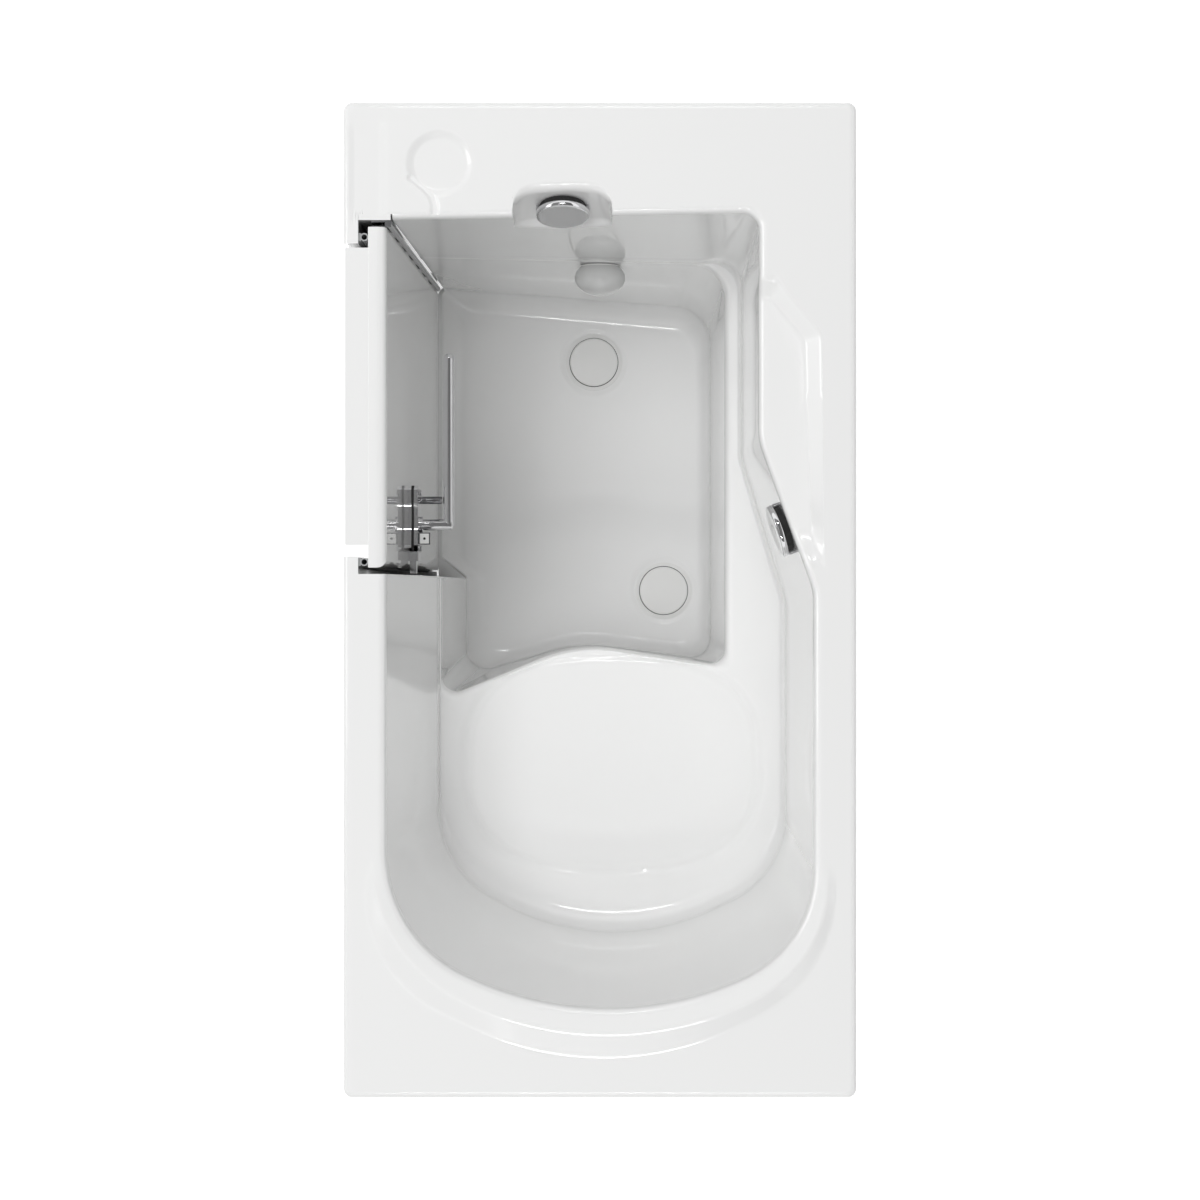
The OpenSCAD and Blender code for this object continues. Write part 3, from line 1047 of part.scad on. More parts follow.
// rails across the tub, and the two bearers under its floor
module frame_cross_rails() color("silver") difference() {
    union() {
        for (x = [-rail_out_x, rail_in_x]) {
            rail_y(x, -rail_in_y, rail_in_y, frame_z);
            rail_y(x, -rail_in_y, rail_in_y, deck_under - tube_w);
        }
        for (x = bearer_x)
            square_tube([x, -rail_out_y, bearer_z], [x + tube_w, rail_out_y, under_z], 1);
    }
    frame_screw_holes();
}
module frame_posts() color("silver") {
    // corners, and both sides of the door
    for (x = [-rail_out_x, rail_in_x], y = [-rail_out_y, rail_in_y])
        post(x, y, rail_top, deck_under);
    for (x = [front_gap_x0 - tube_w, front_gap_x1]) post(x, -rail_out_y, rail_top, deck_under);
    // short ones under the floor's bearers, long ones under the seat's
    for (y = [-rail_out_y, rail_in_y]) {
        for (x = bearer_x) post(x, y, rail_top, bearer_z);
        for (x = seat_beam_x) post(x, y, rail_top, seat_beam_z);
    }
}
seat_beam_z = seat_z - skin - tube_w;
seat_beam_x = [nose_x + 110, back_x - 160];
module seat_bearers() color("silver") for (x = seat_beam_x)
    rail_y(x, -rail_out_y, rail_out_y, seat_beam_z);

// ---- feet ----
foot_at = [for (x = [-1, 1], y = [-1, 1])
    [x * (rail_in_x - 40), y * (rail_in_y + tube_w / 2)]];
stud_r = stud_d / 2;
stud_up = frame_z + tube_w - 3;
locknut_r = 11;
locknut_t = 8;
module levelling_foot(k) translate([foot_at[k][0], foot_at[k][1], 0]) {
    rotate_extrude() polygon([[0, 0], [pad_d / 2, 0], [pad_d / 2, pad_t * 0.4],
        [stud_r + 5, pad_t], [0, pad_t]]);
    translate([0, 0, pad_t - 1]) cylinder(r = stud_r, h = stud_up - pad_t - 1);
}
module levelling_foot_1() color("dimgray") levelling_foot(0);
module levelling_foot_2() color("dimgray") levelling_foot(1);
module levelling_foot_3() color("dimgray") levelling_foot(2);
module levelling_foot_4() color("dimgray") levelling_foot(3);
module foot_locknuts() color("silver") for (p = foot_at)
    translate([p[0], p[1], frame_z - locknut_t]) difference() {
        cylinder(r = locknut_r, h = locknut_t, $fn = 6);
        translate([0, 0, -1]) cylinder(r = stud_r + stud_clear, h = locknut_t + 2);
    }
module stud_holes() for (p = foot_at) translate([p[0], p[1], frame_z - 1])
    cylinder(r = stud_r + stud_clear, h = tube_t + 2);

// ---- panels ----
panel_top = deck_z - edge_h + panel_lap;
panel_y = hw - panel_in;
panel_x = hl - panel_in;
// the panels stop short of the rounded corners of the deck's edge
panel_corner = 4.5;
door_cut_x0 = foot_x - 26.5;
door_cut_x1 = rebate_x + 26.5;
screw_r = 2;
panel_screw_x = [60 - hl, foot_x + 150, rebate_x + 70, hl - 60];
panel_screw_y = [60 - hw, hw - 60];
panel_screw_z = frame_z + tube_w / 2;
module front_apron() color("white") difference() {
    union() {
        box([panel_corner - panel_x, -panel_y, panel_z], [panel_x - panel_corner, panel_t - panel_y, panel_top]);
        // raised field beside the door
        translate([0, -panel_y, 0]) rotate([90, 0, 0]) linear_extrude(2)
            polygon(rounded([[rebate_x + 90, panel_z + 95, 30], [hl - 70, panel_z + 95, 30],
                [hl - 70, deck_z - edge_h - 70, 30], [rebate_x + 90, deck_z - edge_h - 70, 30]], 5));
    }
    box([door_cut_x0, -hw, under_z - 0.4], [door_cut_x1, -hw / 2, deck_z]);
    for (x = panel_screw_x) translate([x, -hw, panel_screw_z]) rotate([-90, 0, 0])
        cylinder(r = screw_r, h = 20, $fn = 24);
}
module end_panel() color("white") difference() {
    union() {
        box([-panel_x, panel_corner + panel_t - panel_y, panel_z],
            [panel_t - panel_x, panel_y - panel_corner, panel_top]);
        translate([-panel_x, 0, 0]) rotate([90, 0, -90]) linear_extrude(2)
            polygon(rounded([[-hw + 90, panel_z + 95, 30], [hw - 90, panel_z + 95, 30],
                [hw - 90, deck_z - edge_h - 70, 30], [90 - hw, deck_z - edge_h - 70, 30]], 5));
    }
    for (y = panel_screw_y) translate([-hl, y, panel_screw_z]) rotate([0, 90, 0])
        cylinder(r = screw_r, h = 20, $fn = 24);
}
module panel_screw() {
    translate([0, 0, -tube_t - 6]) cylinder(r = screw_r, h = tube_t + 6 + panel_t, $fn = 24);
    translate([0, 0, panel_t]) cylinder(r = screw_r + 2.5, h = 2, $fn = 24);
}
module panel_screws() color("silver") {
    for (x = panel_screw_x) translate([x, -rail_out_y, panel_screw_z]) rotate([90, 0, 0]) panel_screw();
    for (y = panel_screw_y) translate([-rail_out_x, y, panel_screw_z]) rotate([0, -90, 0]) panel_screw();
}

tub_shell();
door_frame();
door_panel();
door_seal();
hinge_frame_leaf();
hinge_door_leaf();
hinge_pin();
hinge_screws();
hinge_door_screws();
latch_base();
latch_lever();
latch_bolt();
latch_guide();
latch_stop();
latch_screws();
strike_plate();
foot_knob();
seat_knob();
foot_overflow_body();
seat_overflow_body();
overflow_gaskets();
foot_overflow_pipe();
seat_overflow_pipe();
foot_drain_flange();
seat_drain_flange();
foot_drain_cap();
seat_drain_cap();
foot_drain_body();
seat_drain_body();
drain_gaskets();
waste_pipe();
foot_cable();
seat_cable();
inlet_body();
inlet_cover();
inlet_nut();
inlet_elbow();
frame_rails();
frame_cross_rails();
frame_posts();
seat_bearers();
levelling_foot_1();
levelling_foot_2();
levelling_foot_3();
levelling_foot_4();
foot_locknuts();
front_apron();
end_panel();
panel_screws();
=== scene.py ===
"""Looks of a walk-in bathtub: a smooth acrylic shell round the fixed frame, chrome fittings and a studio."""
import json
import math

import bmesh
import bpy
import numpy as np
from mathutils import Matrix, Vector

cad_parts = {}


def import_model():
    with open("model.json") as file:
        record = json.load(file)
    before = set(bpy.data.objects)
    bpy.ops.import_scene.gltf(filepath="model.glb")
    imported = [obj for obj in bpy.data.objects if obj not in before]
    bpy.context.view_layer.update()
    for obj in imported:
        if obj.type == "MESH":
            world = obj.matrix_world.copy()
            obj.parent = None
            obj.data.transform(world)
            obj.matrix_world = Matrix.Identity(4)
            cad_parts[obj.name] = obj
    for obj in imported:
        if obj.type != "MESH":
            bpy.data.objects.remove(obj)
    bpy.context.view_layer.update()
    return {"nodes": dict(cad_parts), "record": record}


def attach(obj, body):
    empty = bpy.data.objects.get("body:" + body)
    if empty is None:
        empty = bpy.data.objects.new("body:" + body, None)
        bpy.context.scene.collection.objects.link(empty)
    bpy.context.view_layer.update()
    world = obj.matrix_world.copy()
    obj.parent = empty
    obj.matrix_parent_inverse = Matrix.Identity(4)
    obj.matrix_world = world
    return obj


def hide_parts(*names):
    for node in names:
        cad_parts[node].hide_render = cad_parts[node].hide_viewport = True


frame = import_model()
MM = 0.001

# ---- driving sizes of the tub, in millimetres ----
TUB_L, TUB_W, DECK_Z = 1321, 681, 957
# thickness of the shell
SKIN = 6
# widths of the deck at the foot, behind the seat, along the door, along the wall and beside the armrest
FOOT_DECK, BACK_DECK, FRONT_DECK, WALL_DECK, ARM_DECK = 156, 111, 56.5, 55.5, 70
# footwell: level of its floor, its length, and the radius round its floor
FLOOR_Z, FOOTWELL_L, FLOOR_R = 135, 580, 45
# height of the seat over the footwell's floor
SEAT_H = 430
# how far the backrest, the door's side and the foot wall stand further in at the bottom than at the top
BACK_LEAN, FRONT_LEAN, FOOT_TWIST = 69, 47, 50
# roll round the seat end, and the distances before the backrest where it starts and is full
ROLL_H, ROLL_FROM, ROLL_FULL = 8, 205, 115
# dip of the armrest, the lengths of its two ends, and the Y past which it applies
ARM_D, ARM_END_0, ARM_END_1, ARM_SIDE_Y = 17, 34, 60, 100
# rounding of the deck's edge, and how far the edge is turned down
EDGE_R, EDGE_H = 8, 45
# doorway: length of its rebate, start and length of the clear opening, thickness of the lip beside it
REBATE_L, OPENING_X, OPENING_L, LIP_T = 470, 32, 414.4, 20
# height of the rebate over the footwell's floor, height of the lip over the rebate, lean of the door
SILL_H, SILL_LIP, DOOR_LEAN = 33, 28, 23
# length of the step in the wall before the latch post
JOG = 34

# ---- lines in plan and levels that follow from them ----
HL, HW = TUB_L / 2, TUB_W / 2
FOOT_X, BACK_X = FOOT_DECK - HL, HL - BACK_DECK
FRONT_Y, WALL_Y = FRONT_DECK - HW, HW - WALL_DECK
ARM_Y = WALL_Y - ARM_DECK
NOSE_X, POST_X = FOOT_X + FOOTWELL_L, FOOT_X + REBATE_L
OPEN_X0 = FOOT_X + OPENING_X
OPEN_X1 = OPEN_X0 + OPENING_L
ARM_X0, ARM_X1 = FOOT_X + 74, NOSE_X - 115
LIP_IN_Y = LIP_T - HW
SEAT_FRONT_Y = FRONT_Y + FRONT_LEAN
LOW_Y = SEAT_FRONT_Y + 20
SEAT_BACK_Y = WALL_Y - 13
LEDGE_Y = ARM_Y - 7
DOOR_LOW_Y = FRONT_Y + DOOR_LEAN + 3
DOOR_MID_Y = FRONT_Y + DOOR_LEAN / 2
SEAT_Z, REBATE_Z = FLOOR_Z + SEAT_H, FLOOR_Z + SILL_H
LIP_Z = REBATE_Z + SILL_LIP
# top of the fillet round the floor, under the seat's nose, foot of the backrest, under the basin's rim
FILLET_Z, NOSE_Z, BACK_LOW_Z, RIM_LOW_Z = FLOOR_Z + FLOOR_R, SEAT_Z - 14, SEAT_Z + 36, DECK_Z - 12

# ---- forms pressed into the shell ----
# pocket of the foot control: depth, height, middle and width
POCKET_IN, POCKET_H, POCKET_Y, POCKET_W = 37, 105, -50, 132
# how far the pocket's ledge bows down at its sides
POCKET_BOW = 16
# share by which points gather at the pocket's sides, and the depths between which that fades out
GATHER, GATHER_FROM, GATHER_TO = 0.12, 130, 210
# soap dish, and the points of its channel to the basin's rim
DISH_X, DISH_Y, DISH_R, DISH_DIP = -578.4, -212.9, 40, 4
CHANNEL = ((-560, -250), (-547, -233), (-535, -222), (-524, -219), (-506, -219))
# lower strip of the foot end's deck, beside the door's line
STRIP_Y, STRIP_DIP = FRONT_Y - 3, 1.6
# groove round the seat's pad: outline, depth, half width and the power of its superellipse
PAD_L, PAD_W, PAD_X, PAD_Y = 315, 429, 240, 18
GROOVE_DIP, GROOVE_HALF, PAD_POWER = 3.6, 6.5, 2.7
# recesses of the two drains
DRAINS = ((FOOT_X + 116, -10), (NOSE_X - 91, 104))
DRAIN_R, DRAIN_DIP = 54, 3

# ---- steps of the shell's outlines ----
# round each corner, from the hinge to the latch post, seat and backrest, then back along the wall
ARC_STEPS = (10, 4, 4, 24, 28, 24, 12, 0, 12, 0, 0, 16)
# on the straight run that follows each corner
RUN_STEPS = (44, 5, 60, 10, 10, 50, 10, 18, 18, 8, 10, 150)


def unit(v):
    return v / np.linalg.norm(v)


def step(x, a, b):
    """Rises smoothly from 0 at a to 1 at b."""
    t = np.clip((x - a) / (b - a), 0, 1)
    return t * t * (3 - 2 * t)


# ---- outlines of the shell ----
def corner(before, at, after, r, n):
    """n steps round a corner of radius r, between the sides toward the points before and after it."""
    if n == 0:
        return [at]
    u, w = unit(before - at), unit(after - at)
    turn = math.pi - math.acos(max(-1.0, min(1.0, float(u @ w))))
    flat = turn < math.radians(2)
    reach = 0.3 * r if flat else r * math.tan(turn / 2)
    start, end = at + u * reach, at + w * reach
    if flat:
        return [start + (end - start) * k / n for k in range(n + 1)]
    centre = at + unit(u + w) * r / math.cos(turn / 2)
    start, end = start - centre, end - centre
    return [centre + (start * math.sin(turn - turn * k / n) + end * math.sin(turn * k / n)) / math.sin(turn)
            for k in range(n + 1)]


def outline(corners):
    """Points round an outline whose corners are given as x, y and radius."""
    count = len(corners)
    at = [np.array(c[:2], float) for c in corners]
    arcs = [corner(at[i - 1], at[i], at[(i + 1) % count], corners[i][2], ARC_STEPS[i]) for i in range(count)]
    points = []
    for i, arc in enumerate(arcs):
        points += arc
        a, b = arc[-1], arcs[(i + 1) % count][0]
        points += [a + (b - a) * k / (RUN_STEPS[i] + 1) for k in range(1, RUN_STEPS[i] + 1)]
    return np.array(points)


def ring(z, corners, roll=0.0, dip=0.0):
    """An outline at height z, raised by the roll round the seat end and lowered by the armrest's dip."""
    p = outline(corners)
    up = roll * step(p[:, 0], BACK_X - ROLL_FROM, BACK_X - ROLL_FULL)
    arm = step(p[:, 0], ARM_X0, ARM_X0 + ARM_END_0) * (1 - step(p[:, 0], ARM_X1 - ARM_END_1, ARM_X1))
    return np.column_stack([p, z + up - dip * (arm * (p[:, 1] > ARM_SIDE_Y))])


def foot_back(z):
    """The foot wall's X at height z."""
    return FOOT_X - 14 + FOOT_TWIST * (DECK_Z - z) / (DECK_Z - FLOOR_Z)


def door_side(front):
    """The corners at the hinge, before the latch post and at the post, at the seat's height."""
    return [(FOOT_X, DOOR_MID_Y, 6), (POST_X - JOG, DOOR_MID_Y, 12), (POST_X - 2, front, 12)]


def foot_side(wall, foot, r):
    """The end of the wall side and its corner with the foot wall."""
    return [(foot + 170, wall, 0), (foot + 110, wall, 0), (foot, wall, r)]


def low_wall(wall, foot, r):
    """The whole wall side under the seat's height."""
    return [(NOSE_X - 96, wall, 20), (NOSE_X - 150, wall, 0), (NOSE_X - 290, wall, 40),
            *foot_side(wall, foot, r)]


def floor_corners():
    return [(FOOT_X + 43, DOOR_LOW_Y + 43, 25), (POST_X - JOG, DOOR_LOW_Y + 40, 12),
            (POST_X + 2, LOW_Y + 38, 12), (NOSE_X + 10, LOW_Y + 38, 40), (NOSE_X - 28, -34, 230),
            (NOSE_X - 6, LEDGE_Y - 54, 40), *low_wall(LEDGE_Y - 54, foot_back(FLOOR_Z) + 50, 45)]


def fillet_corners():
    return [(FOOT_X, DOOR_LOW_Y, 8), (POST_X - JOG, DOOR_LOW_Y, 12), (POST_X - 2, LOW_Y, 12),
            (NOSE_X + 48, LOW_Y, 35), (NOSE_X - 6, -34, 230), (NOSE_X + 22, LEDGE_Y - 29, 32),
            *low_wall(LEDGE_Y - 29, foot_back(FILLET_Z), 60)]


def nose_corners():
    front = SEAT_FRONT_Y + 3.5
    return [*door_side(front), (NOSE_X + 70, front, 22), (NOSE_X - 13, -34, 230),
            (NOSE_X + 21, LEDGE_Y - 24, 20), *low_wall(LEDGE_Y - 24, foot_back(NOSE_Z), 50)]


def seat_in_corners():
    front, wall = SEAT_FRONT_Y + 2, LEDGE_Y - 12
    return [*door_side(front), (NOSE_X + 83, front, 20), (NOSE_X, -34, 230), (NOSE_X + 34, wall, 16),
            (NOSE_X - 90, wall, 20), (NOSE_X - 145, wall, 0), (NOSE_X - 288, wall, 45),
            *foot_side(wall, foot_back(SEAT_Z), 50)]


def seat_out_corners():
    front, wall = SEAT_FRONT_Y + 2, LEDGE_Y - 6
    return [*door_side(front), (BACK_X - 197, front, 130), (BACK_X - BACK_LEAN - 6, 8, 370),
            (BACK_X - 187, SEAT_BACK_Y - 10, 120), (NOSE_X - 76, SEAT_BACK_Y - 10, 80),
            (NOSE_X - 140, SEAT_BACK_Y - 28, 0), (NOSE_X - 283, wall, 60),
            *foot_side(wall, foot_back(SEAT_Z + 1), 44)]


def back_low_corners():
    return [*door_side(SEAT_FRONT_Y), (BACK_X - 157, SEAT_FRONT_Y, 150), (BACK_X - BACK_LEAN + 44, 8, 340),
            (BACK_X - 147, SEAT_BACK_Y, 140), (NOSE_X - 74, SEAT_BACK_Y, 90),
            (NOSE_X - 140, SEAT_BACK_Y - 20, 0), (NOSE_X - 283, LEDGE_Y, 70),
            *foot_side(LEDGE_Y, foot_back(BACK_LOW_Z), 40)]


def rim_corners(out):
    """The basin's rim, a distance out from its wall."""
    front, wall, arm = FRONT_Y + 1 - out, WALL_Y - 2 + out, ARM_Y - 4 + out
    return [(FOOT_X - out, front, 6 + out), (POST_X - JOG, front, 12), (POST_X - 2, front, 12),
            (BACK_X - 102 + out, front, 182 + out), (BACK_X + 32 + out, 7, 432 + out),
            (BACK_X - 90 + out, wall, 160 + out), (NOSE_X - 88, wall, 60),
            (NOSE_X - 145, WALL_Y - 22 + out, 0), (NOSE_X - 289, arm, 90), (ARM_X0 + 34, arm, 0),
            (ARM_X0, arm, 0), (FOOT_X - 9 - out, arm, 22 + out / 2)]


def crest_corners():
    """The top of the roll round the seat end, and of the softer bend round the rest of the basin."""
    front = FRONT_Y - 18
    return [(FOOT_X - 20, front, 26), (POST_X - JOG, front, 12), (POST_X - 2, front, 12),
            (BACK_X - 74, front, 205), (BACK_X + 66, 7, 450), (BACK_X - 62, WALL_Y + 18, 180),
            (NOSE_X - 84, WALL_Y + 17, 60), (NOSE_X - 136, WALL_Y - 2, 0), (NOSE_X - 421, WALL_Y - 13, 20),
            (ARM_X0 + 33, ARM_Y + 12, 0), (ARM_X0 - 4, ARM_Y + 10, 0), (FOOT_X - 30, ARM_Y + 12, 32)]


def slope_corners():
    """The outer foot of the roll, where the level deck starts."""
    front = FRONT_Y - 30
    return [(FOOT_X - 32, front, 30), (POST_X - JOG, front, 12), (POST_X - 2, front, 12),
            (BACK_X - 52, FRONT_Y - 29, 200), (BACK_X + 106, 8, 400), (BACK_X - 52, WALL_Y + 28, 200),
            (NOSE_X - 82, WALL_Y + 28, 60), (NOSE_X - 126, WALL_Y + 12, 0), (NOSE_X - 428, WALL_Y + 9, 28),
            (ARM_X0 + 20, ARM_Y + 31, 0), (ARM_X0 - 8, ARM_Y + 14, 0), (FOOT_X - 40, ARM_Y + 21, 36)]


def edge_corners(inset, r):
    """The deck's outer edge."""
    front, wall = inset - HW, HW - inset
    return [(inset - HL, front, r), (POST_X - JOG, front, 12), (POST_X - 2, front, 12),
            (HL - inset, front, r), (HL - inset, 0, 400), (HL - inset, wall, r), (NOSE_X - 82, wall, 30),
            (NOSE_X - 136, wall, 0), (NOSE_X - 428, wall, 28), (ARM_X0 - 5, wall, 0), (ARM_X0 - 50, wall, 0),
            (inset - HL, wall, r)]


# ---- rings between two outlines, without the first and with the last ----
def straight(a, b, n):
    return [a + (b - a) * k / n for k in range(1, n + 1)]


def bent(a, b, n, side, up):
    """side and up say how far the ring has come, sideways and in height, at an angle."""
    rings = []
    for k in range(1, n + 1):
        t = math.pi / 2 * k / n
        rings.append(a + (b - a) * np.array([side(t), side(t), up(t)]))
    return rings


def hollow(a, b, n):
    return bent(a, b, n, math.sin, lambda t: 1 - math.cos(t))


def round_over(a, b, n):
    return bent(a, b, n, lambda t: 1 - math.cos(t), math.sin)


def lip(top, side, n):
    """The rounded edge from the deck down to its turned-down side."""
    return [np.column_stack([top[:, :2] + (side[:, :2] - top[:, :2]) * math.sin(t),
                             side[:, 2] + (top[:, 2] - side[:, 2]) * math.cos(t)])
            for t in (math.pi / 2 * k / n for k in range(1, n + 1))]


def face_rings():
    """The face that is seen, from the middle of the floor out to the turned-down edge."""
    floor = ring(FLOOR_Z, floor_corners())
    fillet = ring(FILLET_Z, fillet_corners())
    nose = ring(NOSE_Z, nose_corners())
    seat_in = ring(SEAT_Z, seat_in_corners())
    seat_out = ring(SEAT_Z + 1, seat_out_corners())
    back_low = ring(BACK_LOW_Z, back_low_corners())
    rim_low = ring(RIM_LOW_Z, rim_corners(0), ROLL_H * 0.6, ARM_D)
    rim = ring(DECK_Z, rim_corners(10), ROLL_H * 0.8, ARM_D)
    crest = ring(DECK_Z, crest_corners(), ROLL_H, ARM_D)
    slope = ring(DECK_Z, slope_corners())
    edge_top = ring(DECK_Z, edge_corners(EDGE_R, 8))
    edge = ring(DECK_Z - EDGE_R, edge_corners(0, 12))
    edge_low = ring(DECK_Z - EDGE_H, edge_corners(0, 12))
    pocket_up = RIM_LOW_Z - POCKET_H - BACK_LOW_Z
    pocket_low = back_low + (rim_low - back_low) * pocket_up / (RIM_LOW_Z - BACK_LOW_Z)
    middle = np.array([(FOOT_X + NOSE_X) / 2, 0, FLOOR_Z])
    # the last number of each stretch is how many rings it has
    rings = [middle + (floor - middle) * t for t in np.linspace(0.08, 1, 24)]
    rings += hollow(floor, fillet, 12)
    rings += straight(fillet, nose, 20)
    rings += round_over(nose, seat_in, 7)
    rings += straight(seat_in, seat_out, 40)
    rings += hollow(seat_out, back_low, 10)
    rings += straight(back_low, pocket_low, 26)
    rings += straight(pocket_low, rim_low, 34)
    rings += round_over(rim_low, rim, 8)
    rings += straight(rim, crest, 4)
    rings += straight(crest, slope, 6)
    rings += straight(slope, edge_top, 24)
    rings += lip(edge_top, edge, 6)
    rings += straight(edge, edge_low, 5)
    return np.array(rings)


def press_pocket(p, grow=0):
    """Pushes the foot end's rim back to make the pocket of the control, with a soft ledge under it."""
    half = POCKET_W / 2
    below = DECK_Z - p[..., 2]
    near = p[..., 0] < FOOT_X + 12
    side = p[..., 1] - POCKET_Y
    # the points gather at the pocket's sides
    u = np.clip(np.abs(side) / half, 0, 1.5)
    fade = 1 - step(below, GATHER_FROM, GATHER_TO)
    p[..., 1] += np.where(near, np.sign(side) * half * -GATHER * np.sin(2 * math.pi * u) * fade, 0)
    u = (np.abs(p[..., 1] - POCKET_Y) - grow) / half
    # deep across the middle, with tight rounds at the sides
    across = np.clip(1 - u ** 5, 0, 1) ** 0.38
    below = below + POCKET_BOW * np.clip(u, 0, 1) ** 4
    down = np.clip(1 - below / (POCKET_H + 8), 0, 1) * (1 - step(below, POCKET_H - 23, POCKET_H - 5))
    back = step(p[..., 0], -HL + 20, FOOT_X - 36)
    p[..., 0] -= np.where(near, POCKET_IN * across * down * back, 0)


# ---- meshes ----
def normals(p):
    along = np.roll(p, -1, 1) - np.roll(p, 1, 1)
    out = np.gradient(p, axis=0)
    n = np.cross(out, along)
    return n / np.maximum(np.linalg.norm(n, axis=2, keepdims=True), 1e-9)


def loft(face, back):
    """A closed body between the face and the layer behind it; the faces of the back use material 1."""
    rings, count = face.shape[:2]
    shell = np.concatenate([face, back[::-1]])
    points = shell.reshape(-1, 3)
    index = np.arange(len(points)).reshape(2 * rings, count)
    a, b = index[:-1], index[1:]
    quads = np.stack([a, b, np.roll(b, -1, 1), np.roll(a, -1, 1)], -1).reshape(-1, 4)
    caps = []
    for row, flip in ((index[0], False), (index[-1], True)):
        centre = len(points)
        points = np.vstack([points, points[row].mean(0)])
        caps += [(centre, n, r) if flip else (centre, r, n) for r, n in zip(row, np.roll(row, -1))]
    mesh = bpy.data.meshes.new("tub_skin")
    mesh.from_pydata((points * MM).tolist(), [], quads.tolist() + [tuple(map(int, c)) for c in caps])
    behind = np.zeros(len(mesh.polygons), np.int32)
    behind[rings * count:len(quads)] = 1
    behind[len(quads) + count:] = 1
    mesh.polygons.foreach_set("material_index", behind)
    return mesh


def stack(bm, rows):
    """Adds a closed body through rows of points in millimetres, each of which runs once round it."""
    rings = [[bm.verts.new([v * MM for v in point]) for point in row] for row in rows]
    bm.faces.new(rings[0])
    bm.faces.new(rings[-1])
    for low, high in zip(rings, rings[1:]):
        for k in range(len(low)):
            bm.faces.new((low[k], low[k - 1], high[k - 1], high[k]))


def closed_mesh(bm, name):
    """The mesh of a finished bmesh, with its faces turned outward."""
    bmesh.ops.recalc_face_normals(bm, faces=bm.faces)
    mesh = bpy.data.meshes.new(name)
    bm.to_mesh(mesh)
    bm.free()
    return mesh


def smooth(obj, angle=35):
    bpy.ops.object.select_all(action="DESELECT")
    obj.select_set(True)
    bpy.context.view_layer.objects.active = obj
    bpy.ops.object.shade_smooth_by_angle(angle=math.radians(angle))


def add(name, mesh, body, *replaced, slot, mats):
    """A piece on a body, in place of the CAD nodes that it replaces."""
    obj = bpy.data.objects.new(name, mesh)
    bpy.context.scene.collection.objects.link(obj)
    for m in mats:
        mesh.materials.append(m)
    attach(obj, body)
    if replaced:
        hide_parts(*replaced)
    return obj


# ---- shallow forms pressed into the face ----
# how far under and over a level the face's points are taken along
LEVEL_UNDER, LEVEL_OVER = 1.5, 6


def run_off(x, y, a, b):
    """Distance from the straight run a to b."""
    a, b = np.array(a, float), np.array(b, float)
    u = b - a
    t = np.clip(((x - a[0]) * u[0] + (y - a[1]) * u[1]) / (u @ u), 0, 1)
    return np.hypot(x - a[0] - t * u[0], y - a[1] - t * u[1])


def dish_depth(x, y):
    """The soap dish and its channel, which is three quarters as deep."""
    bowl = 1 - step(np.hypot(x - DISH_X, y - DISH_Y), DISH_R - 7, DISH_R + 6)
    off = np.min([run_off(x, y, a, b) for a, b in zip(CHANNEL, CHANNEL[1:])], axis=0)
    return np.maximum(DISH_DIP * bowl, 0.75 * DISH_DIP * (1 - step(off, 2, 7.5)))


def strip_depth(x, y):
    """The strip beside the door's line, a little lower than the rest of the foot end's deck."""
    inner = 1 - step(y, STRIP_Y - 7, STRIP_Y + 7)
    return STRIP_DIP * inner * step(x, 18 - HL, 48 - HL) * step(y, 4 - HW, 16 - HW)


def pad_depth(x, y):
    """A soft groove round the seat's pad."""
    reach = np.abs((x - PAD_X) / (PAD_L / 2)) ** PAD_POWER + np.abs((y - PAD_Y) / (PAD_W / 2)) ** PAD_POWER
    off = (reach ** (1 / PAD_POWER) - 1) * (PAD_L + PAD_W) / 4
    return GROOVE_DIP * np.exp(-(off / GROOVE_HALF) ** 2)


def drain_depth(x, y):
    away = [np.hypot(x - drain_x, y - drain_y) for drain_x, drain_y in DRAINS]
    return sum(DRAIN_DIP * (1 - step(d, DRAIN_R - 8, DRAIN_R + 2)) for d in away)


def press(mesh, depth, box, level, cuts):
    """Refines the face inside box = (x0, x1, y0, y1) near a level, then lowers it by depth(x, y)."""
    x0, x1, y0, y1 = (v * MM for v in box)
    z0, z1 = (level - LEVEL_UNDER) * MM, (level + LEVEL_OVER) * MM
    bm = bmesh.new()
    bm.from_mesh(mesh)

    def inside(v):
        return x0 < v.co.x < x1 and y0 < v.co.y < y1 and z0 < v.co.z < z1

    edges = [e for e in bm.edges if inside(e.verts[0]) and inside(e.verts[1])]
    bmesh.ops.subdivide_edges(bm, edges=edges, cuts=cuts, use_grid_fill=True)
    moved = [v for v in bm.verts if inside(v)]
    co = np.array([v.co for v in moved]) / MM
    for v, d in zip(moved, depth(co[:, 0], co[:, 1])):
        v.co.z -= d * MM
    bm.to_mesh(mesh)
    bm.free()


# ---- cuts for the door ----
# how far the door's cuts go past its inner face
DOOR_CLEAR = 8
# the hole for the bolt in the post's face: lower and upper Y and Z
BOLT_HOLE = (-276, -260.5, 643, 665)
# thickness of the post's face
PLATE_T = 2.5


def door_face_y(z):
    """The door's inner face at height z."""
    return FRONT_Y + 0.5 + DOOR_LEAN * (DECK_Z - z) / (DECK_Z - REBATE_Z)


def rectangle(y0, y1, z0, z1):
    return [(y0, z0), (y0, z1), (y1, z1), (y1, z0)]


